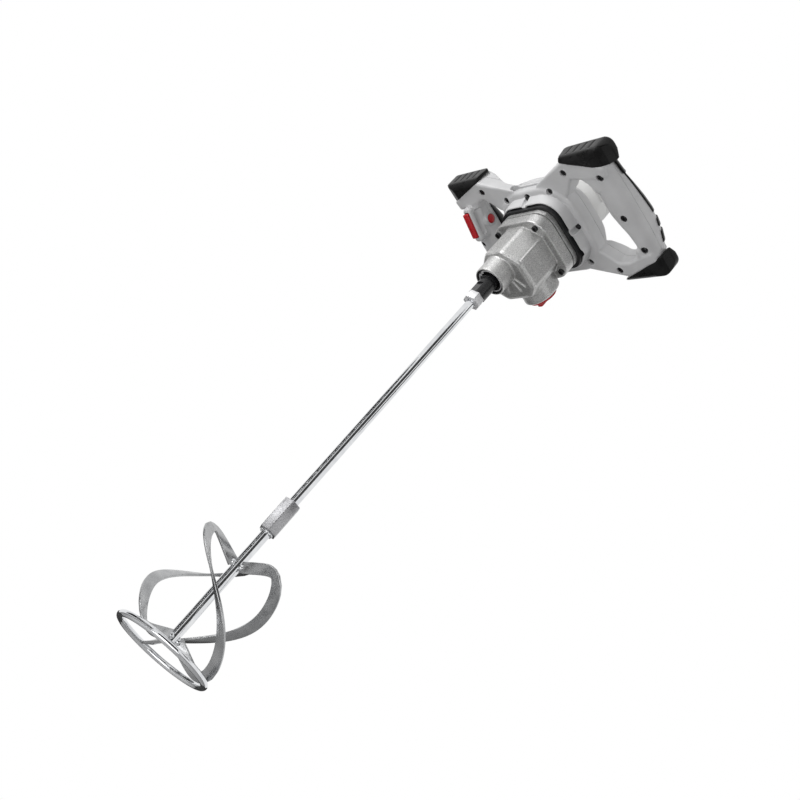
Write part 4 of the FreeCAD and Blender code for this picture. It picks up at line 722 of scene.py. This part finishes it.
BORE_RADIUS = 46.8
BORE_SPAN = (100.0, 200.0)
RECESS_RADIUS = 5.0
RECESS_SPAN = (110.0, 141.6)
SHELL_SCREWS = ((40.5, -57.5), (-42.0, -58.0), (40.5, 57.5), (-40.5, 57.5), (78.5, -78.5),
                (-78.5, -78.5), (78.5, 78.5), (-78.5, 78.5), (129.5, -60), (133.5, 54), (-133.5, 54),
                (130, 3), (-136, 2), (0, -57.5))
POCKET_SPAN = (-29.0, 33.0)
POCKET_Z = (134.0, 145.0)
POCKET_Y = (-80.0, -64.8)
POCKET_CORNER = 5.0
CORNERS = ((1, -1), (1, 1), (-1, -1), (-1, 1))
CAP_BED = ((84.5, 92.5), (160, 66.6), (160, 140), (84.5, 140))

# Collar sizes
COLLAR_RIM = 115.0
COLLAR_SECTIONS = ((115.0, 54.3, 30.0), (121.0, 55.6, 32.0), (133.0, 58.6, 40.0))
COLLAR_STEPS = 12
COLLAR_VOXEL = 0.85
COLLAR_PASSES = 2
HOLLOW_HALF = 52.1
HOLLOW_CORNER = 28.0
HOLLOW_FLOOR = 132.0
HOLLOW_START = 100.0
CHANNEL_PLACE = 55.6
CHANNEL_RADIUS = 4.2
TONGUE_RADIUS = 6.4
BULGE_PLACE = (48.5, 32.0)
BULGE_RADIUS = 8.0
BULGE_HOLLOW = 5.8

# Trigger sizes
TRIGGER_SETBACK = 38.5
TRIGGER_PLACE = (-117.0, MOTOR_Y - TRIGGER_SETBACK, 118.0)
TRIGGER_SHIFT = -3.4
TRIGGER_TILT = math.radians(-10.6)
TRIGGER_HALF = (5.2, 18.8)
TRIGGER_SPAN = (-3.4, 6.0)
TRIGGER_CORNER = 2.0
TRIGGER_EDGE = 1.4
TRIGGER_EASE = 0.5
TRIGGER_TRAVEL = 6.0
SURROUND_HALF = (7.4, 26.0)
SURROUND_SHIFT = -2.0
SURROUND_DEPTH = 34.0
SURROUND_CORNER = 5.0
SURROUND_EDGE = 3.0
SLOT_DEPTH = (-9.0, 13.5)
SLOT_CORNER = 2.0
FINGER_CHANNEL = (10.4, 0.0, 10.2)
FINGER_RADIUS = 6.8
FINGER_HALF = 20.5
FINGER_EDGE = 3.0
BUTTON_SETBACK = 31.0
BUTTON_PLACE = (-117.0, MOTOR_Y - BUTTON_SETBACK, 143.0)
BUTTON_PROFILE = ((0, 4.5), (6.5, 4.5), (6.5, 12.2), (5.9, 13.2), (4.5, 13.8), (0, 14.0))
BUTTON_BORE = 7.1
BUTTON_BORE_SPAN = (1.2, 30.0)
BUTTON_PAD_RADIUS = 10.0
BUTTON_PAD_REACH = 13.0
BUTTON_PAD_EDGE = 1.5


def smooth_share(value, start, end):
    """Rises gently from nought at start to one at end."""
    share = min(max((value - start) / (end - start), 0.0), 1.0)
    return share * share * (3 - 2 * share)


def mirrored(points, across, along):
    loop = [(x * across, MOTOR_Y + y * along) for x, y in points]
    return loop if across * along > 0 else loop[::-1]


def grip_ring(bm, along, inner, outer, top, growth):
    """One rounded section of a grip."""
    inner -= growth
    outer += growth
    low = GRIP_LOW - growth
    top += growth
    corners = [(outer, low), (outer, top), (inner, top), (inner, low)]
    spots = [(x, MOTOR_Y + along, z) for x, z in corners]
    return rounded_loop(bm, spots, GRIP_CORNER + growth, GRIP_STEPS)


def make_grip(side, growth=0.0):
    """A grip bar that swells towards its middle."""
    bm = bmesh.new()
    lofted(bm, [grip_ring(bm, *station, growth) for station in GRIP_STATIONS])
    if side < 0:
        flipped(bm, side)
        for vert in bm.verts:
            drop = min(LEFT_TILT * (vert.co.y - MOTOR_Y - LEFT_LEVEL), LEFT_DROP)
            vert.co.z -= drop * (1 - smooth_share(vert.co.z, GRIP_LOW, SPLIT_Z))
    return bm


def ring_plan():
    plan = [(x, RING_MIDDLE - y) for x, y in RING_PLAN]
    plan += [(x, RING_MIDDLE + y) for x, y in RING_PLAN[-2::-1]]
    plan += [(-x, RING_MIDDLE + y) for x, y in RING_PLAN[1:]]
    plan += [(-x, RING_MIDDLE - y) for x, y in RING_PLAN[-2:0:-1]]
    return plan


def collar_block():
    """The flared block that becomes the collar round the gear case."""
    bm = bmesh.new()
    faces = []
    for height, half, corner in COLLAR_SECTIONS:
        corners = [(x, y, height) for x, y in square_plan(half, MOTOR_Y)]
        faces.append(rounded_loop(bm, corners, corner, COLLAR_STEPS))
    return lofted(bm, faces)


def collar_posts(radius, bottom, top):
    """A round post at the middle of each side of the collar."""
    places = [(CHANNEL_PLACE * x, CHANNEL_PLACE * y) for x, y in ((1, 0), (0, 1), (-1, 0), (0, -1))]
    return [moved(drum(radius, bottom, top, 0.0, POST_STEPS), x, y + MOTOR_Y) for x, y in places]


def bulge(radius, bottom, top):
    x, y = BULGE_PLACE
    return moved(drum(radius, bottom, top, 0.0, POST_STEPS), x, y + MOTOR_Y)


def make_collar():
    """The flared collar round the gear case, with a screw channel and its tongue in each side."""
    body = melted([collar_block(), bulge(BULGE_RADIUS, COLLAR_RIM, HANDLE_Z)], COLLAR_VOXEL, COLLAR_PASSES)
    plan = square_plan(HOLLOW_HALF, MOTOR_Y)
    space = prism(plan, HOLLOW_START, HOLLOW_FLOOR, HOLLOW_CORNER, COLLAR_STEPS)
    space = carved(space, collar_posts(TONGUE_RADIUS, HOLLOW_START - OVERRUN, HOLLOW_FLOOR + OVERRUN))
    body = carved(body, [space])
    body = carved(body, [bulge(BULGE_HOLLOW, HOLLOW_START, HOLLOW_FLOOR)])
    body = carved(body, collar_posts(CHANNEL_RADIUS, HOLLOW_START, HALF_SPACE))
    return melted([body], COLLAR_VOXEL, COLLAR_PASSES)


def tilted(bm):
    """Takes a shape made about the trigger's own middle to its place on the handle."""
    return moved(turned_to(bm, TRIGGER_TILT, "X"), *TRIGGER_PLACE)


def along_x(bm, place):
    """Lays an upright bar along x from the given place."""
    return moved(turned_to(bm, QUARTER_TURN, "Y"), *place)


def along_y(bm, place):
    """Lays an upright bar along y from the given place."""
    return moved(turned_to(bm, -QUARTER_TURN, "X"), *place)


def necked(bm):
    """Thins the rear of the struts where they leave the ring."""
    for vert in bm.verts:
        rise = vert.co.z - HANDLE_Z
        if rise > 0:
            radius = math.hypot(vert.co.x, vert.co.y - MOTOR_Y)
            share = smooth_share(radius, *NECK_RING) * (1 - smooth_share(abs(vert.co.x), *NECK_GRIP))
            vert.co.z = HANDLE_Z + rise * (1 - NECK_SHARE * share)
    return bm


def make_handle():
    solids = [rounded_prism(ring_plan(), RING_LOW, RING_TOP, RING_CORNER, RING_EDGE)]
    for across in (1, -1):
        solids.append(make_grip(across))
        for along, web in WEB_PLANS.items():
            strut = mirrored(STRUT_PLANS[along], across, along)
            solids.append(rounded_prism(strut, HANDLE_Z, HANDLE_TOP, STRUT_CORNER, STRUT_EDGE))
            solids.append(rounded_prism(mirrored(web, across, along), *WEB_SPAN, 0.0, WEB_EDGE))
    surround = rounded_prism(box_plan(*SURROUND_HALF), 0.0, SURROUND_DEPTH, SURROUND_CORNER, SURROUND_EDGE)
    solids.append(tilted(moved(surround, x=SURROUND_SHIFT)))
    pad = drum(BUTTON_PAD_RADIUS, 0.0, BUTTON_PAD_REACH, BUTTON_PAD_EDGE)
    solids.append(along_x(pad, BUTTON_PLACE))
    body = necked(melted(solids, MOULD_VOXEL, MOULD_PASSES))
    cuts = [moved(drum(RECESS_RADIUS, *RECESS_SPAN, 0.0, HEAD_STEPS), x, MOTOR_Y + y)
            for x, y in SHELL_SCREWS]
    drift = TRIGGER_TRAVEL * math.sin(TRIGGER_TILT)
    slot_half = TRIGGER_HALF[1] + TRIGGER_EASE + abs(drift) / 2
    slot = prism(box_plan(TRIGGER_HALF[0] + TRIGGER_EASE, slot_half), *SLOT_DEPTH, SLOT_CORNER)
    cuts.append(tilted(moved(slot, x=TRIGGER_SHIFT, y=drift / 2)))
    finger = turned_to(drum(FINGER_RADIUS, -FINGER_HALF, FINGER_HALF, FINGER_EDGE), QUARTER_TURN, "X")
    cuts.append(tilted(moved(finger, *FINGER_CHANNEL)))
    cuts.append(along_x(drum(BUTTON_BORE, *BUTTON_BORE_SPAN), BUTTON_PLACE))
    low, high = POCKET_Z
    left, right = POCKET_SPAN
    pocket = prism([(left, -high), (right, -high), (right, -low), (left, -low)], *POCKET_Y, POCKET_CORNER)
    cuts.append(moved(turned_to(pocket, -QUARTER_TURN, "X"), y=MOTOR_Y))
    body = carved(body, cuts)
    body = carved(body, [prism(mirrored(CAP_BED, across, along), *BORE_SPAN) for across, along in CORNERS])
    return carved(body, [moved(drum(BORE_RADIUS, *BORE_SPAN, 0.0, BORE_STEPS), 0, MOTOR_Y)])


whole = make_handle()
rear_copy = whole.copy()
block = square_plan(HALF_SPACE)
front = carved(whole, [prism(block, SPLIT_Z - SEAM, HALF_SPACE)])
rear = carved(rear_copy, [prism(block, 0, SPLIT_Z + SEAM)])
finished("front_shell", front, "housing", "grey", "grey_plastic", "handle_front_shell", crease=MOULDED_CREASE)
finished("rear_shell", rear, "housing", "grey", "grey_plastic", "handle_rear_shell", crease=MOULDED_CREASE)
finished("front_collar", make_collar(), "housing", "grey", "grey_plastic", crease=MOULDED_CREASE)

# Trigger and lock button
trigger = rounded_prism(box_plan(*TRIGGER_HALF), *TRIGGER_SPAN, TRIGGER_CORNER, TRIGGER_EDGE)
trigger = tilted(moved(trigger, x=TRIGGER_SHIFT))
finished("finger_trigger", trigger, "trigger", "red", "red_plastic", "trigger")
button = along_x(turned(BUTTON_PROFILE), BUTTON_PLACE)
finished("lock_pin", button, "lock_button", "red", "red_plastic", "lock_button")

# Screw heads, coloured near black: painted shade, standing for the shadow in their deep recesses
HEAD_RADIUS = 4.1
HEAD_SPAN = (132.9, 141.5)
HEAD_EASE = 0.5
COLLAR_HEAD_SPAN = (129.0, 131.0)
CROSS_HALF = (2.6, 0.55)
CROSS_DEPTH = 1.4


def cross_head(radius, bottom, top):
    """A screw head whose front has a cross recess."""
    head = drum(radius, bottom, top, HEAD_EASE, HEAD_STEPS)
    for turn in (0, QUARTER_TURN):
        bar = prism(box_plan(*CROSS_HALF), bottom - CROSS_DEPTH, bottom + CROSS_DEPTH)
        head = carved(head, [turned_to(bar, turn, "Z")])
    return head


def copies(bm, places):
    """One shape set down at each of several places."""
    result = [moved(bm.copy(), *place) for place in places]
    bm.free()
    return joined(result)


heads = copies(cross_head(HEAD_RADIUS, *HEAD_SPAN), [(x, MOTOR_Y + y, 0) for x, y in SHELL_SCREWS])
heads = joined([heads, *collar_posts(HEAD_RADIUS, *COLLAR_HEAD_SPAN)])
# The near-black of these heads is painted shade of the recesses they sit in
finished("shell_screw_heads", heads, "housing", "black_steel", "black_steel", "shell_screws")

# Rubber over the rear of the grips
PAD_GROWTH = 1.7
PAD_SWELL = 3.8
PAD_EASE = 0.6
PAD_MIDDLE_CLEAR = 1.0
PAD_OUTER_SWELL = (-72, -47, 154.0, 157.0)
PAD_OUTER = ((-46, 20, 160.5, 167.0), (30, 40, 166.0, 163.5), (47, 61, 162.5, 158.5))
PAD_INNER = ((-72, -46, 157.0, 156.5), (-46, 20, 157.0, 151.0), (30, 40, 160.0, 159.0),
             (47, 61, 158.5, 156.0))


def cut_away(bm, place, outward):
    """Cuts a solid along a plane, drops what lies outward of it and closes the cut."""
    parts = bm.verts[:] + bm.edges[:] + bm.faces[:]
    made = bmesh.ops.bisect_plane(bm, geom=parts, dist=WELD, plane_co=place, plane_no=outward,
                                  clear_outer=True)
    rim = [item for item in made["geom_cut"] if isinstance(item, bmesh.types.BMEdge)]
    bmesh.ops.edgeloop_fill(bm, edges=rim)
    return bm


def grip_pad(facing, start, end, start_z, end_z, growth=PAD_GROWTH):
    """The outer or inner half of a rubber pad, whose front edge runs from one height to another."""
    bm = make_grip(1, growth)
    slope = (end_z - start_z) / (end - start)
    cut_away(bm, (GRIP_X, MOTOR_Y + start, start_z), (0, slope, -1))
    cut_away(bm, (GRIP_X, MOTOR_Y + start, 0), (0, -1, 0))
    cut_away(bm, (GRIP_X, MOTOR_Y + end, 0), (0, 1, 0))
    cut_away(bm, (GRIP_X, 0, 0), (-facing, 0, 0))
    squared(bm)
    edges = [edge for edge in sharp_edges(bm)
             if min(abs(vert.co.x - GRIP_X) for vert in edge.verts) > PAD_MIDDLE_CLEAR]
    bevelled(bm, edges, PAD_EASE, EASE_STEPS)
    return bm


def grip_rubber(side):
    pads = [grip_pad(1, *span) for span in PAD_OUTER] + [grip_pad(-1, *span) for span in PAD_INNER]
    pads.append(grip_pad(1, *PAD_OUTER_SWELL, PAD_SWELL))
    bm = joined(pads)
    return flipped(bm, side) if side < 0 else bm


for side, name in ((1, "right"), (-1, "left")):
    finished(f"grip_rubber_{name}", grip_rubber(side), "housing", "rubber", "black_rubber",
             f"grip_inlay_{name}")

# Bumper caps
CAP_PLAN = ((50, 40), (151.6, 40), (151.6, 99.9), (50, 99.0))
CAP_CORNER = 12.0
CAP_CORNER_STEPS = 8
CAP_SPAN = (131.0, 177.0)
CAP_TOP = 165.0
CAP_RIM = 4.0
CAP_TAPER = ((86.0, 166.0), 0.5)
CAP_TIP = (80.0, 165.0)
CAP_ROUND = ((125.0, 157.0), 26.0)
CAP_ROUND_TURNS = (22, 46, 70)
CAP_EDGE = 10.0
CAP_EDGE_STEPS = 6
CAP_LINE = ((84.0, 92.0), (151.0, 69.0))
CAP_END = 80.0
CAP_LEAN = 10.0
CAP_VOXEL = 1.0
CAP_PASSES = 4
GROOVE_RADIUS = 2.2
GROOVE_EDGE = GROOVE_RADIUS / 2
GROOVES = ((90, 100.6), (103, 100.7), (116, 100.8), (129, 100.9))
GROOVE_SPAN = (140.0, 160.0)
CAPS = dict(zip(("bumper_cap_right_top", "bumper_cap_right_bottom", "bumper_cap_left_top",
                 "bumper_cap_left_bottom"), CORNERS))


def make_cap(across, along):
    """A rounded corner cap with finger grooves along its outer side."""
    block = rounded_prism(CAP_PLAN, *CAP_SPAN, CAP_CORNER, CAP_EDGE, CAP_CORNER_STEPS, CAP_EDGE_STEPS)
    (near_x, near_y), (far_x, far_y) = CAP_LINE
    cut_away(block, (near_x, near_y, 0), (far_y - near_y, near_x - far_x, 0))
    low, high = CAP_SPAN
    cut_away(block, (near_x, near_y, CAP_TOP), UPWARD)
    rim = [edge for edge in block.edges if all(vert.co.z > CAP_TOP - WELD for vert in edge.verts)]
    bevelled(block, rim, CAP_RIM, FINE_STEPS)
    (taper_y, taper_z), slope = CAP_TAPER
    cut_away(block, (near_x, taper_y, taper_z), (0, -slope, 1))
    tip_x, tip_z = CAP_TIP
    cut_away(block, (tip_x, near_y, tip_z), (-1, 0, 1))
    (round_x, round_z), radius = CAP_ROUND
    for turn in CAP_ROUND_TURNS:
        out_x = math.cos(math.radians(turn))
        out_z = -math.sin(math.radians(turn))
        cut_away(block, (round_x + radius * out_x, near_y, round_z + radius * out_z), (out_x, 0, out_z))
    cut_away(block, (CAP_END, near_y, low), (low - high, 0, -CAP_LEAN))
    grooves = [moved(drum(GROOVE_RADIUS, *GROOVE_SPAN, GROOVE_EDGE, SMALL_STEPS), *place)
               for place in GROOVES]
    cap = melted([carved(squared(block), grooves)], CAP_VOXEL, CAP_PASSES)
    return moved(flipped(cap, across, along), y=MOTOR_Y)


for node, (across, along) in CAPS.items():
    finished(node.replace("bumper", "rubber"), make_cap(across, along), "housing", "rubber", "black_rubber",
             node, crease=SOFT_CREASE)

# Gear case
CASE_Z = 27.0
FLANGE_Z = 84.0
PLATE_Z = 103.0
CASE_SEAM = 0.3
CASE_TOP = 88.0
NOSE_RADIUS = 21.5
NOSE_ROOT = 37.0
NOSE_EDGE = 0.6
NOSE_BORE = 17.6
NOSE_MOUTH = 19.7
MOUTH_SPAN = (-5.0, 4.4)
NOSE_BORE_SPAN = (-5.0, 8.0)
CASE_PLAN = ((37, -4), (37, 38), (23, 52), (-23, 52), (-37, 38), (-37, -4), (-16, -25), (16, -25))
CASE_CORNER = 4.0
CASE_SHOULDER = 6.0
RIDGE_SPAN = (33.0, 86.0)
RIDGE_RADIUS = 1.3
RIDGE_PLACE = (36.3, -3.6)
FLANGE_HALF = 47.0
FLANGE_CORNER = 24.0
FLANGE_CORNER_STEPS = 10
FLANGE_EDGE = 1.6
CASE_SCREW = 35.5
EAR_RADIUS = 6.0
EAR_START = 83.0
EAR_EDGE = 0.8
BOSS_RADIUS = 24.0
BOSS_X = 8.0
BOSS_Z = (55.5, 62.0)
BOSS_SPAN = (30.0, 67.0)
BOSS_EDGE = 2.2
SHOULDER_RIBS = (-36.0, -17.0, 17.0, 36.0)
RIB_HALF = (1.3, 11.0)
RIB_MIDDLE = 29.0
RIB_SPAN = (25.2, 38.0)
CAST_VOXEL = 0.9
CAST_PASSES = 4


def make_gear_case():
    seam_z = PLATE_Z - CASE_SEAM
    solids = [rounded_prism(CASE_PLAN, CASE_Z, CASE_TOP, CASE_CORNER, CASE_SHOULDER, edge_steps=EASE_STEPS)]
    solids.append(drum(NOSE_RADIUS, 0.0, NOSE_ROOT, NOSE_EDGE))
    flange = square_plan(FLANGE_HALF, MOTOR_Y)
    solids.append(rounded_prism(flange, FLANGE_Z, seam_z, FLANGE_CORNER, FLANGE_EDGE, FLANGE_CORNER_STEPS))
    for height in BOSS_Z:
        solids.append(along_y(drum(BOSS_RADIUS, *BOSS_SPAN, BOSS_EDGE), (BOSS_X, 0, height)))
    for x, y in square_plan(CASE_SCREW, MOTOR_Y):
        solids.append(moved(drum(EAR_RADIUS, EAR_START, seam_z, EAR_EDGE), x, y))
    ridge_x, ridge_y = RIDGE_PLACE
    for side in (1, -1):
        solids.append(moved(drum(RIDGE_RADIUS, *RIDGE_SPAN), ridge_x * side, ridge_y))
    for angle in SHOULDER_RIBS:
        rib = moved(prism(box_plan(*RIB_HALF), *RIB_SPAN), y=RIB_MIDDLE)
        solids.append(turned_to(rib, math.radians(angle), "Z"))
    case = melted(solids, CAST_VOXEL, CAST_PASSES)
    case = carved(case, [drum(NOSE_MOUTH, *MOUTH_SPAN)])
    return carved(case, [drum(NOSE_BORE, *NOSE_BORE_SPAN)])


finished("cast_gear_case", make_gear_case(), "housing", "cast", "cast_aluminium", "gear_case",
         crease=MOULDED_CREASE)

# Seal and ring in the nose
SEAL_PROFILE = ((12.1, 7.6), (12.1, 4.2), (13.0, 3.4), (15.4, 3.4), (17.4, 3.4), (17.8, 1.6), (18.2, 1.2),
                (19.2, 1.2), (19.55, 1.6), (19.55, 4.3), (17.4, 4.5), (17.4, 7.6), (12.1, 7.6))
CLIP_MIDDLE = 16.55
CLIP_HALF = 0.85
CLIP_SPAN = (2.0, 3.2)
CLIP_GAP = math.radians(22)
CLIP_START = math.radians(-120)
CLIP_EAR = 2.1
CLIP_EYE = 0.8
CLIP_EDGE = 0.1
CLIP_STEPS = 60
finished("rubber_seal", turned(SEAL_PROFILE), "housing", "rubber", "black_rubber", "nose_seal")


def make_clip():
    """An open spring ring with an eye at each end."""
    bm = bmesh.new()
    low, high = CLIP_SPAN
    bmesh.ops.create_circle(bm, cap_ends=True, segments=WIRE_STEPS, radius=CLIP_HALF)
    turned_to(bm, QUARTER_TURN, "X")
    moved(bm, x=CLIP_MIDDLE, z=(low + high) / 2)
    bmesh.ops.spin(bm, geom=bm.faces[:], cent=ORIGIN, axis=UPWARD, angle=FULL_TURN - CLIP_GAP,
                   steps=CLIP_STEPS)
    squared(bm)
    turned_to(bm, CLIP_START + CLIP_GAP / 2, "Z")
    ears = []
    for side in (1, -1):
        hole = drum(CLIP_EYE, low - OVERRUN, high + OVERRUN, 0.0, EYE_STEPS)
        eye = carved(drum(CLIP_EAR, low, high, CLIP_EDGE, SMALL_STEPS), [hole])
        angle = CLIP_START + side * CLIP_GAP / 2
        reach = CLIP_MIDDLE - CLIP_EAR + CLIP_HALF
        ears.append(moved(eye, reach * math.cos(angle), reach * math.sin(angle)))
    return joined([bm, *ears])


finished("spring_clip", make_clip(), "housing", "bright", "chromed_steel", "retaining_ring")

# Speed selector
KNOB_PLACE = (8.0, 0.0, 56.5)
KNOB_DISC = (20.0, 67.3, 70.8)
KNOB_DISC_EDGE = 0.8
KNOB_BAR_HALF = (4.6, 14.4)
KNOB_BAR_SPAN = (69.0, 77.3)
KNOB_BAR_CORNER = 3.0
KNOB_BAR_EDGE = 1.4
disc = along_y(drum(*KNOB_DISC, KNOB_DISC_EDGE), KNOB_PLACE)
bar = rounded_prism(box_plan(*KNOB_BAR_HALF), *KNOB_BAR_SPAN, KNOB_BAR_CORNER, KNOB_BAR_EDGE)
bar = along_y(bar, KNOB_PLACE)
finished("speed_knob", joined([disc, bar]), "selector_knob", "red", "red_plastic", "selector_knob")

# Motor shell
MOTOR_BORE = 42.6
MOTOR_PROFILE = ((MOTOR_BORE, 133.0), (45.9, 133.0), (45.9, 170.0), (47.2, 171.6), (47.2, 177.0),
                 (46.0, 178.6), (45.9, 203.0), (45.2, 204.0), (45.2, 205.4), (45.9, 206.4), (45.9, 222.6),
                 (44.9, 223.8), (MOTOR_BORE, 223.8), (MOTOR_BORE, 133.0))
SADDLE_PLAN = ((38.0, -9.5), (48.4, -7.5), (48.4, 7.5), (38.0, 9.5))
SADDLE_SPAN = (197.0, 221.0)
SADDLE_CORNER = 1.6
SADDLE_EDGE = 2.0
BRUSH_CAP = (6.2, 47.0, 49.6)
BRUSH_CAP_Z = 209.0
BRUSH_CAP_EDGE = 0.8
BRUSH_SLOT_HALF = (0.8, 4.6)
BRUSH_SLOT_FLOOR = 48.7
MOTOR_VOXEL = 0.9
MOTOR_PASSES = 2


def brush_cap(side):
    """A round screw-in cap with a coin slot, on one side of the motor."""
    radius, foot, top = BRUSH_CAP
    slot = prism(box_plan(*BRUSH_SLOT_HALF), BRUSH_SLOT_FLOOR, top + BRUSH_CAP_EDGE)
    cap = carved(drum(radius, foot, top, BRUSH_CAP_EDGE), [slot])
    return moved(turned_to(cap, side * QUARTER_TURN, "Y"), y=MOTOR_Y, z=BRUSH_CAP_Z)


def make_motor_shell():
    tube = turned(MOTOR_PROFILE, BORE_STEPS)
    pads = []
    for side in (1, -1):
        pad = rounded_prism(SADDLE_PLAN, *SADDLE_SPAN, SADDLE_CORNER, SADDLE_EDGE)
        pads.append(turned_to(pad, QUARTER_TURN * (1 - side), "Z"))
    shell = melted([tube, *pads], MOTOR_VOXEL, MOTOR_PASSES)
    return moved(carved(shell, [drum(MOTOR_BORE, *BORE_SPAN, 0.0, BORE_STEPS)]), y=MOTOR_Y)


# The motor shell takes the lighter copy of the grey plastic, which is painted light
finished("motor_shell", make_motor_shell(), "housing", "lit_grey", "grey_plastic", "motor_housing",
         crease=SHELL_CREASE)
finished("brush_caps", joined([brush_cap(side) for side in (1, -1)]), "housing", "black", "black_plastic")

# Finishes of the pieces that keep their own shape
# Grey plastic parts that keep their own shape also take the lighter copy of the grey plastic, which is
# painted light
FINISH_OF_SLOT = {"chromed_steel": "chrome", "brushed_steel": "turned", "black_steel": "black_steel",
                  "cast_aluminium": "cast", "grey_plastic": "lit_grey", "black_rubber": "rubber",
                  "red_plastic": "red", "black_plastic": "black", "bronze": "bronze",
                  "copper_wire": "copper", "carbon": "carbon"}
for part in frame["record"]["subparts"]:
    node = frame["nodes"][part["node"]]
    for slot in node.material_slots:
        slot.material = FINISH[FINISH_OF_SLOT[part["material_slot"]]]

bpy.context.scene.view_settings.view_transform = "Standard"
